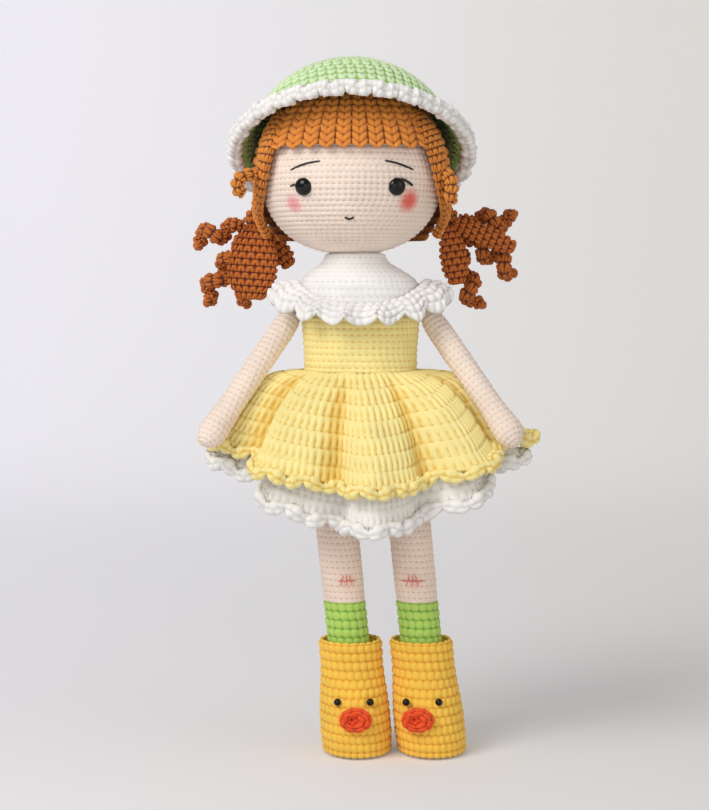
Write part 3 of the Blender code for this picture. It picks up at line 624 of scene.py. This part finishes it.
KNEE_RISE = 79 * MM
KNEE_STEP = {"left": -1.1 * MM, "right": 2.2 * MM}  # how far the mark is from the leg's middle
KNEE_HALF = {"left": 5.6, "right": 4.0}  # half the length of the mark's bar, in millimetres
KNEE_TICKS = ((-2.4, 0.9), (-0.3, 0.2), (1.8, -0.8))  # where each crosses the bar, and its lean
for side in SIDES:
    at = leaning("leg_swing_" + side)
    leg_low, leg_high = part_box("leg_" + side)
    knee = at(KNEE_RISE, 0, 0, 9.4 * MM)
    patch = ((knee[3] + KNEE_STEP[side], knee[4], knee[0]), 5.5 * MM, "EA9484", 0.3)
    rosy = cotton("skin cotton with a rosy knee, " + side, "FBE5D4", "D3AE8E", [patch])
    sock_low, sock_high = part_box("sock_" + side)
    leg_form = stack([
        at(leg_low.z - 3.5 * MM, 1 * MM, 1 * MM),
        at(leg_low.z - 3.5 * MM, 9.4 * MM, 9.4 * MM),
        at(leg_low.z + 3 * MM, 9.5 * MM, 9.5 * MM),
        at(leg_low.z + 22 * MM, 9.7 * MM, 9.7 * MM),
        at(HINGE - 8 * MM, 10 * MM, 10 * MM),
        at(HINGE + 4 * MM, 9.2 * MM, 9.2 * MM),
        at(leg_high.z, 5 * MM, 5 * MM),
        at(leg_high.z, 0.5 * MM, 0.5 * MM),
    ])
    leg = crochet("leg_crochet_" + side, leg_form, 38, SKIN_STITCH, 0.7 * MM, close_crochet, rosy,
                  drift=0.2)
    dress(leg, "leg_" + side, "skin_yarn", "leg_" + side, fill=0.9)
    sock_form = stack([
        at(sock_low.z, 1 * MM, 1 * MM),
        at(sock_low.z + 1 * MM, 8.5 * MM, 8.5 * MM),
        at(sock_low.z + 20 * MM, 9.4 * MM, 9.4 * MM),
        at(sock_high.z - 3 * MM, 9.7 * MM, 9.7 * MM),
        at(sock_high.z - 1 * MM, 9.7 * MM, 9.7 * MM),
        at(sock_high.z - 1 * MM, 1 * MM, 1 * MM),
    ])
    sock = crochet("sock_crochet_" + side, sock_form, 21, 3.9 * MM, 0.9 * MM, brick, SOCK,
                   fine=(6, 6), drift=0.17)
    dress(sock, "leg_" + side, "sock_yarn", "sock_" + side, fill=0.9)

    def knee_point(across, rise, leg_radius=9.5 * MM):
        """A point on the round front of the leg, from the middle of the knee."""
        across = across + KNEE_STEP[side]
        behind = 9.3 * MM - math.sqrt(leg_radius**2 - across**2)
        return np.array([knee[3] + across, knee[4] + behind, knee[0] + rise])

    half = KNEE_HALF[side]
    bar = [knee_point(n * MM, 0.3 * MM * math.sin(2 * n)) for n in np.linspace(-half, half, 9)]
    embroider("knee_bar_" + side, bar, 0.3 * MM, CORAL, "leg_" + side)
    for number, (n, lean) in enumerate(KNEE_TICKS):
        tick = [knee_point((n + lean * rise / 3) * MM, rise * MM) for rise in (-2.2, 0, 2.8)]
        embroider(f"knee_tick_{side}_{number}", tick, 0.26 * MM, CORAL, "leg_" + side)

# %% [markdown]
# Arms are slim tubes that hang a little forward over the skirt and swell into the hand.

# %% Arms
ARM_SPREAD = math.radians(34)
ARM_FORWARD = math.radians(27)
ARM_RINGS = [  # height along the arm from the shoulder, half width and half depth, in millimetres
    (-71.5, 0.3, 0.3), (-71.0, 3.5, 3.5), (-65.0, 6.9, 6.7), (-57, 6.1, 5.9), (-49, 5.4, 5.4),
    (-18, 5.7, 5.7), (1, 5.6, 5.6), (5.6, 3, 3), (5.7, 0.3, 0.3),
]
for side, sign in SIDES.items():
    heading = Vector((sign * math.sin(ARM_SPREAD), -math.sin(ARM_FORWARD), -math.cos(ARM_SPREAD)))
    arm_form = stack([(z * MM, rx * MM, ry * MM, 0, 0) for z, rx, ry in ARM_RINGS],
                     place=carried(joint_place("arm_swing_" + side), -heading.normalized()))
    arm = crochet("arm_crochet_" + side, arm_form, 33, SKIN_STITCH, 0.7 * MM, close_crochet, SKIN,
                  drift=0.2)
    dress(arm, "arm_" + side, "skin_yarn", "arm_" + side, fill=0.85)

# %% [markdown]
# The hair is thicker yarn. A cap hugs the head and leaves the face open, and the fringe is worked
# in upright ribs, each a stack of slanting strands, with a scallop under every rib.

# %% Wig cap and fringe
HAIR_GROW = 3.3 * MM
HAIR_STITCH = 3.9 * MM
FRINGE_RIBS = 10


def around_head(turn, rise, grow):
    """Points on the head grown by a little, at a turn and a rise above its middle."""
    half = HEAD_HALF + grow
    level = np.sqrt(np.clip(1 - (rise / half[2]) ** 2, 0, 1))
    x = HEAD[0] + half[0] * level * np.cos(turn)
    y = HEAD[1] + half[1] * level * np.sin(turn)
    return np.stack([x, y, HEAD[2] + rise], axis=1)


def wig_form(u, v):
    lowest = math.asin(-30 * MM / (HEAD_HALF[2] + HAIR_GROW))
    lift = lowest + (math.pi / 2 - lowest) * v
    return around_head(TURN * u, (HEAD_HALF[2] + HAIR_GROW) * np.sin(lift), HAIR_GROW)


def in_face_window(points):
    """The face is open between the locks, which spread apart as they go down."""
    x, y, z = (points - HEAD).T / MM
    rises = [-20, -9, 1, 11, 19]
    right = np.interp(z, rises, [-41, -40.5, -37, -34.5, -33])
    left = np.interp(z, rises, [41, 40.5, 37, 34, 30])
    face = (x > right) & (x < left) & (y < -2) & (z < 19)
    return face | ((y < 2) & (z < -12))


def fringe_form(u, v):
    across = 0.84 * (2 * u - 1)
    turn = -math.pi / 2 + np.arcsin(across)
    scallop = 1.9 * MM * np.sin(math.pi * ((u * FRINGE_RIBS) % 1.0)) * (1 - v) ** 3
    rise = 12.6 * MM + 21 * MM * v - scallop
    return around_head(turn, rise, HAIR_GROW + 1.0 * MM)


wig = crochet("wig_crochet", wig_form, 22, HAIR_STITCH, 1.3 * MM, single_crochet, HAIR, gap=in_face_window)
dress(wig, "head", "hair_yarn", "wig_cap", fill=0.5)
fringe = crochet("fringe_ribs", fringe_form, 7, 0, 2.1 * MM, rib, HAIR, (16, 9), 0, 1.4 * MM, FRINGE_RIBS)
dress(fringe, "head", "hair_yarn", "fringe", fill=0.5)

# %% [markdown]
# Ropes of hair are tubes of six stitches round. The side locks lie against the wig, the temple
# ringlets and the pigtails' curls are wound as a helix, and flat strips fan out in front of them.

# %% Locks, ringlets and pigtails
SIDES = (("left", 1), ("right", -1))


def lock_point(sign, across, rise, grow):
    """A point on the front of the grown head, this far across and above its middle."""
    half = HEAD_HALF + grow
    level = 1 - (rise / half[2]) ** 2 - (across / half[0]) ** 2
    return HEAD + np.array([sign * across, -half[1] * math.sqrt(max(level, 0)), rise])


def helix(start, end, coil, pitch):
    """A curl's route from start to end, whose coil grows in from its root."""
    axis = end - start
    length = np.linalg.norm(axis)
    across = np.cross(axis, (0, 1, 0))
    across /= np.linalg.norm(across)
    other = np.cross(axis / length, across)
    share = np.linspace(0, 1, round(length / pitch * 14) + 1)[:, None]
    angle = TURN * length / pitch * share
    reach = coil * np.minimum(1, share * 2)
    return start + axis * share + (across * np.cos(angle) + other * np.sin(angle)) * reach


def rope(name, route, radius, body, node_name, shares, around=6, thick=None, facing=None, cup=0.0, yarn=HAIR):
    """A crocheted rope or band of hair along a route, whose radius swells by the shares along it."""
    walked = np.linspace(0, 1, len(route))
    swell = np.interp(walked, np.linspace(0, 1, len(shares)), shares)
    thickness = None if thick is None else thick * np.sqrt(swell)
    form = tube(route, radius * swell, thickness, facing, cup)
    length = np.linalg.norm(np.diff(route, axis=0), axis=1).sum()
    rows = max(4, round(length / (3.0 * MM)))
    piece = crochet(name, form, rows, 0, 1.4 * MM, single_crochet, yarn, (6, 6), 0.5, count=around)
    close_ends(piece)
    dress(piece, body, "hair_yarn", node_name, fill=0.6)
    return piece


CURL_SHARES = [0.6, 0.8, 1, 1, 1, 1, 1, 1, 1, 1, 1, 0.95, 0.4]
TUFTS = {
    "right": (
        [(18, 0.71), (56, 1.12), (84, 0.98)],
        [(86, 0.95, 1.0, True), (126, 0.62, 0.45, False)],
    ),
    "left": (
        [(1, 0.74), (38, 0.99), (71, 1.07)],
        [(23, 0.87, 0.42, True), (81, 0.77, 0.55, True)],
    ),
}
LOCKS = {
    "right": [(31.5, 27, 3), (35.8, 19, 3.6), (37.6, 11.6, 3.8), (39.8, 0.4, 3.8), (41.8, -10.5, 3.4)],
    "left": [(28, 27, 3), (33.5, 19, 3.8), (37.0, 11.6, 4.0), (39.6, 0.4, 4.0), (41.8, -10.5, 3.6)],
}
LOCK_SHARES = {"right": [0.8, 1, 1, 0.85, 0.7, 0.7, 0.6], "left": [0.8, 1.2, 1.2, 1, 0.75, 0.7, 0.6]}
RINGLETS = {
    "right": [(42.5, -20, 0), (47, -22.5, -0.5), (50.5, -23.5, -3), (50.5, -23.5, -7), (47.5, -22, -9)],
    "left": [(39.5, -22, 1), (43, -24, -1), (44.5, -25, -5), (43.5, -24, -9), (44.5, -21, -13)],
}
for side, sign in SIDES:
    lock = [lock_point(sign, *(n * MM for n in place)) for place in LOCKS[side]]
    lock += [HEAD + np.array([sign * x, y, z]) * MM for x, y, z in ((43.2, 1, -18), (38.5, 5, -27))]
    lock = rounded(lock)
    away = (lock - HEAD) / np.linalg.norm(lock - HEAD, axis=1, keepdims=True)
    rope("side_lock_rope_" + side, lock, 6.2 * MM, "head", "side_lock_" + side, LOCK_SHARES[side],
         around=10, thick=2.6 * MM, facing=away)

    loop = rounded([HEAD + np.array([sign * x, y, z]) * MM for x, y, z in RINGLETS[side]])
    rope("ringlet_" + side, loop, 3.0 * MM, "head", "temple_curl_" + side, [0.8, 1, 1, 1, 1, 0.65])

    body = "pigtail_" + side
    knot = np.array(next(j["pos_m"] for j in frame["joints"] if j["name"] == "pigtail_swing_" + side))
    ball = [(-6.2, 0.5), (-5, 3.8), (0, 6.6), (5, 3.8), (6.2, 0.5)]
    ball = stack([(knot[2] + z * MM, r * MM, r * MM, knot[0], knot[1]) for z, r in ball])
    tie = crochet("tie_" + side, ball, 5, 3 * MM, 1.3 * MM, single_crochet, HAIR_IN_SHADE)
    dress(tie, body, "hair_yarn", "pigtail_knot_" + side, fill=0.7)

    def tuft(angle, share, layer, first):
        heading = np.array([sign * math.cos(math.radians(angle)), 0, -math.sin(math.radians(angle))])
        root = knot + np.array([0, layer, 0]) + heading * first
        return root, root + heading * 36 * MM * share

    curls, strips = TUFTS[side]
    for number, (angle, share) in enumerate(curls, 1):
        start, end = tuft(angle, share, 3 * MM, 5.5 * MM)
        route = helix(start, end, 3.0 * MM, 12.5 * MM)
        rope(f"curl_rope_{side}_{number}", route, 3.5 * MM, body, f"curl_{side}_{number}", CURL_SHARES, yarn=HAIR_IN_SHADE)
    for number, (angle, share, wide, front) in enumerate(strips, 1):
        start, end = tuft(angle, share, (-5.5 if front else 3) * MM, (2.6 if front else 4.6) * MM)
        route = np.linspace(start, end, 25)
        rope(f"strip_rope_{side}_{number}", route, 11.6 * MM * wide, body, f"strip_{side}_{number}",
             [0.35, 0.78, 0.97, 1.0, 0.92, 0.5], max(8, round(17 * wide)), 2.9 * MM, (0, -1, 0), 2.4 * MM * wide, HAIR_IN_SHADE)

# %% [markdown]
# Gathered cloth. The skirt and petticoat start at the bodice's oval and spread to a wider one. They
# reach lower in front than at the sides, bulge a little, and fall in nine folds that deepen downward.

# %% Skirt and petticoat
FOLDS = 9
FOLD_PHASE = math.radians(54)
BODICE_HALF = np.array([26.4, 19.4]) * MM
PUFF = 5.5 * MM  # how far the cloth stands up at the sides and behind, below the waist
SKIRT = {"half": (69.5, 47.0), "side": 27.0, "front": 47.5, "inset": 0.0, "top": 0.0}
PETTICOAT = {"half": (67.5, 45.0), "side": 33.0, "front": 63.5, "inset": 2.9, "top": 0.10}


def cloth_form(cloth, low=1.0):
    """Cloth from share low, at the hem, up to its top. Folds ridge at the middle of the front."""

    def form(u, v):
        turn = TURN * u
        share = low + (cloth["top"] - low) * v
        ways = np.stack([np.cos(turn), np.sin(turn)], axis=1)
        top = ways * BODICE_HALF
        hem = ways * np.array(cloth["half"]) * MM
        out = np.linalg.norm(hem - top, axis=1)
        outward = (hem - top) / out[:, None]
        sideways = ways[:, 0] ** 2
        drop = (cloth["side"] * sideways + cloth["front"] * (1 - sideways)) * MM
        slant = np.hypot(out, drop)
        behind = np.maximum(sideways, np.clip(np.sin(turn), 0, 1))
        puff = PUFF * behind * 6.75 * share * (1 - share) ** 2
        bulge = np.sin(math.pi * share) * slant * 0.06 + puff - cloth["inset"] * MM
        phase = FOLDS * turn + FOLD_PHASE
        sharp = np.cos(phase) - 0.22 * np.sin(2 * phase)
        fold = 5.2 * MM * share**0.75 * (sharp - 0.6 * (sharp < 0) * sharp**2)
        spot = top + outward * (out * share + fold + bulge * drop / slant)[:, None]
        spot[:, 0] += 3.4 * MM * share
        height = waist + 1.8 * MM * (1 - share) ** 3 - drop * share + bulge * out / slant
        return np.concatenate([spot + MIDDLE, height[:, None]], axis=1)

    return form


def shade_in_valleys(u, v):
    """How much shade is painted into the valleys between two folds, by how deep the cloth lies in one. The valleys
    begin just under the waist.
    """
    valley = np.clip(-np.cos(FOLDS * TURN * u + FOLD_PHASE), 0, 1) ** 1.5
    return valley * np.clip(5 * (1 - v), 0, 1)


def shells(name, path, radius, count, yarn, rows=4, swell=0.45, drop=0.0, wander=0.0):
    """An edging of small shells along a path of a turn from 0 to 1, each a bump of gathered yarn."""
    turns = np.linspace(0, 1, count * 8, endpoint=False)
    bump = np.abs(np.sin(math.pi * count * turns)) ** 0.8
    uneven = np.sin(TURN * 11 * turns) * np.sin(TURN * 29 * turns)
    bump = bump * (0.82 + 0.18 * uneven)
    route = path(turns)
    route[:, 2] -= drop * bump + wander * np.sin(TURN * (count / 2 + 0.3) * turns)
    form = tube(route, radius * (1 - swell + 2 * swell * bump), closed=True)
    return crochet(name, form, rows, 0, radius * 0.42, brick, yarn, (6, 6), 0.5, 0, count * 2)


def hem_path(cloth, below):
    """The line that runs this far below a cloth's hem."""
    form = cloth_form(cloth)

    def path(turns):
        edge = form(turns, np.zeros_like(turns))
        above = form(turns, np.full_like(turns, 0.04))
        way = edge - above
        way /= np.linalg.norm(way, axis=1, keepdims=True)
        return edge + way * below

    return path


# The skirt's fold valleys get painted shade, a deeper yellow.
skirt = crochet("skirt_crochet", cloth_form(SKIRT), 7, 2.8 * MM, 1.5 * MM, double_crochet, YELLOW, (5, 8), 0, 1.3 * MM,
                fold_shade=shade_in_valleys)
petticoat = crochet("petticoat_crochet", cloth_form(PETTICOAT), 8, 3.0 * MM, 1.2 * MM, double_crochet, WHITE, (4, 8),
                    0, 1.1 * MM)
bobbles = shells("skirt_bobbles", hem_path(SKIRT, 1.3 * MM), 2.8 * MM, 66, YELLOW, swell=0.42, wander=1.3 * MM)
shell_trim = shells("petticoat_shells", hem_path(PETTICOAT, 1.7 * MM), 3.1 * MM, 56, WHITE, swell=0.42, wander=1.4 * MM)
for piece, edging, slot, node_name in (
    (skirt, bobbles, "yellow_yarn", "skirt"),
    (petticoat, shell_trim, "white_yarn", "petticoat"),
):
    dress(edging, "torso", slot, node_name + "_edging", fill=0.5)
    dress(piece, "torso", slot, node_name)

# %% [markdown]
# The ruffle is a ring of shells that starts on the shoulders and falls over the tops of the arms.

# %% Collar ruffle
ruffle_low, ruffle_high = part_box("collar_ruffle")
RUFFLE_SHELLS = 18


def ruffle_form(u, v):
    turn = TURN * u
    share = (1 - v)[:, None]
    side = np.abs(np.cos(turn)) ** 3
    shell = np.abs(np.sin(math.pi * RUFFLE_SHELLS * u)) ** 0.7
    top_half = np.array([27.9, 20.6]) * MM
    half = top_half + (np.array([40.5, 28.5]) * MM - top_half) * np.sin(share * math.pi / 2)
    fold = 2.2 * MM * share[:, 0] * np.cos(14 * turn)
    top = ruffle_high.z - 10 * MM * (1 - side)
    hem = ruffle_low.z + 1 * MM + 8.5 * MM * side + 4.6 * MM * (1 - shell)
    height = top - (top - hem) * share[:, 0] ** (1.5 + 1.5 * side)
    x = (half[:, 0] + fold) * np.cos(turn) + MIDDLE[0]
    y = (half[:, 1] + fold) * np.sin(turn) + MIDDLE[1]
    return np.stack([x, y, height], axis=1)


ruffle = crochet("ruffle_shells", ruffle_form, 4, 3.6 * MM, 1.9 * MM, brick, WHITE, (6, 8), 0.5, 1.2 * MM)
dress(ruffle, "torso", "white_yarn", "collar_ruffle")

# %% [markdown]
# The hat leans back with the head's crown. Its dome runs into a flared brim in one piece of cloth,
# so the inside of the brim shows below, and its rim carries a ring of white shells.

# %% Hat
HAT_TILT = math.radians(29)
HAT_AXIS = np.array([0, math.sin(HAT_TILT), math.cos(HAT_TILT)])
HAT_MIDDLE = HEAD + np.array([0, -3.0, 3.6]) * MM
hat_place = carried(HAT_MIDDLE, HAT_AXIS)
HAT_RADIUS = 49.6 * MM
dome = [(HAT_RADIUS * math.sin(a), HAT_RADIUS * math.cos(a), HAT_RADIUS * math.cos(a), 0, 0)
        for a in np.linspace(math.asin(13 / 49.6), math.pi / 2 - 0.02, 9)]
brim = [(8.6 * MM, 50.6 * MM, 50.6 * MM, 0, 0), (11.2 * MM, 49.2 * MM, 49.2 * MM, 0, 0)]
hat = crochet("hat_crochet", stack(brim + dome, hat_place), 17, 4.4 * MM, 1.2 * MM, single_crochet, GREEN, (6, 6), wall=2 * MM)
dress(hat, "hat", "green_yarn", "hat", fill=0.5)


def hat_rim(turns):
    reach = 53.0 * MM
    level = np.full_like(turns, 7.6 * MM)
    return hat_place(np.stack([reach * np.cos(TURN * turns), reach * np.sin(TURN * turns), level], axis=1))


hat_shells = shells("hat_shells", hat_rim, 3.4 * MM, 58, WHITE, swell=0.24, wander=0.8 * MM)
dress(hat_shells, "hat", "white_yarn", "hat_edging", fill=0.5)

# %% [markdown]
# The boots are worked in a chunky yarn whose stitches stand up like bricks. Each has an oval beak
# with a dimple, and two glossy bead eyes.

# %% Boots


def bead(name, centre, radius, body, node_name):
    bpy.ops.mesh.primitive_uv_sphere_add(segments=32, ring_count=16, radius=radius)
    made = bpy.context.object
    made.name = name
    made.data.transform(Matrix.Translation(Vector(centre)))
    bpy.ops.object.shade_smooth()
    made.data.materials.append(PLASTIC)
    dress(made, body, "black_plastic", node_name)
    return made


BOOT_LEAN = {"left": 0.0, "right": 0.035}
DUCK_STEP = {"left": -2.4 * MM, "right": 0.0}
for side, sign in SIDES:
    at = leaning("leg_swing_" + side)
    low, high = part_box("boot_" + side)
    top = high.z
    outer = [
        (0.3, 3, 3, 4), (0.3, 15, 19.4, 4.6), (2, 15.9, 20.8, 5), (9.6, 16.3, 21.2, 5), (19, 16.2, 19.8, 3.8),
        (29.4, 15.2, 16.8, 1.3), (37.5, 14.4, 14.5, 0), (47.5, 14.5, 14.5, 0), (50.0, 14.8, 14.8, 0),
        (51.6, 13.4, 13.4, 0), (50.2, 12.1, 12.1, 0), (47, 11.7, 11.7, 0), (38, 11.5, 11.5, 0),
    ]
    boot_rings = [at(z * MM, rx * MM, ry * MM, forward * MM) for z, rx, ry, forward in outer]
    boot_rings = [(z, rx, ry, x + BOOT_LEAN[side] * (z - top / 2), y) for z, rx, ry, x, y in boot_rings]
    boot = crochet("boot_crochet_" + side, stack(boot_rings), 22, 3.7 * MM, 1.1 * MM, brick, BOOT, (7, 7), 0.14)
    dress(boot, "boot_" + side, "boot_yarn", "boot_" + side, "sole_" + side, fill=0.4)

    beak_low, beak_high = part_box("beak_" + side)
    middle = (np.array(beak_low) + np.array(beak_high)) / 2 + np.array([2.3 * DUCK_STEP[side], 0, 1 * MM])
    cup = [
        (-3, 6.2, 4.6, 0, 0), (-1, 7.6, 5.7, 0, 0), (1.6, 7.4, 5.5, 0, 0), (3.6, 5.6, 4.0, 0, 0),
        (3.9, 4.0, 2.9, -0.8, 0.3), (2.6, 2.0, 1.6, -1.6, 0.6), (1.4, 0.1, 0.1, -1.8, 0.6),
    ]
    beak_form = stack([tuple(n * MM for n in ring) for ring in cup], carried(middle, (0, -1, 0)))
    beak = crochet("beak_crochet_" + side, beak_form, 5, 4.4 * MM, 1.3 * MM, brick, BEAK, (8, 8), 0.4)
    dress(beak, "boot_" + side, "orange_yarn", "beak_" + side, fill=0.6)
    for place in ("inner", "outer"):
        node_name = f"duck_eye_{place}_{side}"
        eye_low, eye_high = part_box(node_name)
        centre = (np.array(eye_low) + np.array(eye_high)) / 2 + np.array([DUCK_STEP[side], 0, 0])
        bead(f"bead_{place}_{side}", centre, 1.7 * MM, "boot_" + side, node_name)

# %% [markdown]
# The stage: a pale floor that turns up into a backdrop, one large soft light from the upper left, a
# weak one from the right and a low fill, and the camera a little above the doll's eyes.

# %% Stage
GLOW_NEAR = 0.15
GLOW_FAR = 0.42

def plain(name, left, right, roughness=0.9):
    """Matt seamless paper, faintly mottled by soft light, with painted light in its colour: cool and brighter on the
    left, greyer on the right, as the light from the left falls off.

    Only what looks at it sees the glow that keeps its far part pale, so it lights nothing.
    """
    made, tree, shader = new_material(name)
    place = node(tree, "ShaderNodeTexCoord").outputs["Object"]
    parts = node(tree, "ShaderNodeSeparateXYZ", {}, Vector=place).outputs
    # Painted light: the paper's colour runs from cool and bright on the left to greyer on the right.
    across = node(tree, "ShaderNodeMapRange", {}, Value=parts["X"], i1=-0.35, i2=0.35)
    tone = node(tree, "ShaderNodeMix", {"data_type": "RGBA"})
    tree.links.new(across.outputs["Result"], tone.inputs[0])
    tone.inputs[6].default_value = srgb(left)
    tone.inputs[7].default_value = srgb(right)
    mottle = node(tree, "ShaderNodeTexNoise", {}, Vector=place, Scale=1.5, Detail=1.0)
    tint = node(tree, "ShaderNodeMapRange", {}, Value=mottle.outputs["Fac"], i3=0.985, i4=1.015)
    shade = node(tree, "ShaderNodeHueSaturation", {}, Color=tone.outputs[2])
    tree.links.new(tint.outputs["Result"], shade.inputs["Value"])
    tree.links.new(shade.outputs["Color"], shader.inputs["Base Color"])
    tree.links.new(shade.outputs["Color"], shader.inputs["Emission Color"])
    rays = node(tree, "ShaderNodeLightPath").outputs
    seen = node(tree, "ShaderNodeMath", {"operation": "ADD"}, i0=rays["Is Camera Ray"], i1=rays["Is Glossy Ray"])
    seen = node(tree, "ShaderNodeMath", {"operation": "ADD"}, i0=seen.outputs[0], i1=rays["Is Transmission Ray"])
    away = node(tree, "ShaderNodeMapRange", {}, Value=parts["Y"], i1=0.0, i2=1.1, i3=GLOW_NEAR, i4=GLOW_FAR)
    glow = node(tree, "ShaderNodeMath", {"operation": "MULTIPLY"}, i0=seen.outputs[0], i1=away.outputs["Result"])
    tree.links.new(glow.outputs[0], shader.inputs["Emission Strength"])
    shader.inputs["Roughness"].default_value = roughness
    return made


FLOOR_HALF = 3.0
SWEEP_START = 0.9
SWEEP_RADIUS = 0.5
sweep = [(-FLOOR_HALF, 0.0), (SWEEP_START, 0.0)]
for i in range(1, 13):
    turn = math.pi / 2 * i / 12
    sweep.append((SWEEP_START + SWEEP_RADIUS * math.sin(turn), SWEEP_RADIUS * (1 - math.cos(turn))))
sweep.append((SWEEP_START + SWEEP_RADIUS, 2.6))
corners = [(x, y, z) for y, z in sweep for x in (-FLOOR_HALF, FLOOR_HALF)]
panels = [(2 * i, 2 * i + 1, 2 * i + 3, 2 * i + 2) for i in range(len(sweep) - 1)]
paper = bpy.data.meshes.new("backdrop")
paper.from_pydata(corners, [], panels)
paper.polygons.foreach_set("use_smooth", [True] * len(panels))
# The two colours are the painted fall of the light, from the lit left to the greyer right.
paper.materials.append(plain("seamless paper", "EDECF2", "DFDEDA"))
backdrop = bpy.data.objects.new("backdrop", paper)
bpy.context.collection.objects.link(backdrop)

# %% Light


def softbox(name, place, target, size, watts, hex_value="FFFFFF"):
    bpy.ops.object.light_add(type="AREA", location=place)
    lamp = bpy.context.object
    lamp.name = name
    lamp.data.size = size
    lamp.data.energy = watts
    lamp.data.color = srgb(hex_value)[:3]
    lamp.rotation_euler = (Vector(target) - Vector(place)).to_track_quat("-Z", "Y").to_euler()
    return lamp


CHEST = (0, 0, 0.17)
softbox("window", (-0.75, -0.75, 1.0), CHEST, 0.7, 10, "FFFCF8")
softbox("bounce", (0.9, -0.6, 0.45), CHEST, 0.8, 1.8, "FFF6EE")
softbox("low_fill", (0.0, -1.2, 0.25), CHEST, 0.9, 2.2)
world = bpy.data.worlds.new("room light")
world.use_nodes = True
world.node_tree.nodes["Background"].inputs["Color"].default_value = srgb("F4F4F6")
world.node_tree.nodes["Background"].inputs["Strength"].default_value = 0.38
bpy.context.scene.world = world

# %% Camera
CAMERA_LIFT = math.radians(4)
CAMERA_AWAY = 0.9
aim_at = Vector((-0.0037, -0.005, 0.1592))
camera_data = bpy.data.cameras.new("camera")
camera_data.sensor_width = 36
camera_data.sensor_fit = "VERTICAL"
camera_data.sensor_height = 36
camera_data.lens = 88.1
camera = bpy.data.objects.new("camera", camera_data)
bpy.context.collection.objects.link(camera)
back = Vector((0, -math.cos(CAMERA_LIFT), math.sin(CAMERA_LIFT)))
camera.location = aim_at + back * CAMERA_AWAY
camera.rotation_euler = (-back).to_track_quat("-Z", "Y").to_euler()
bpy.context.scene.camera = camera
bpy.context.scene.view_settings.view_transform = "Standard"
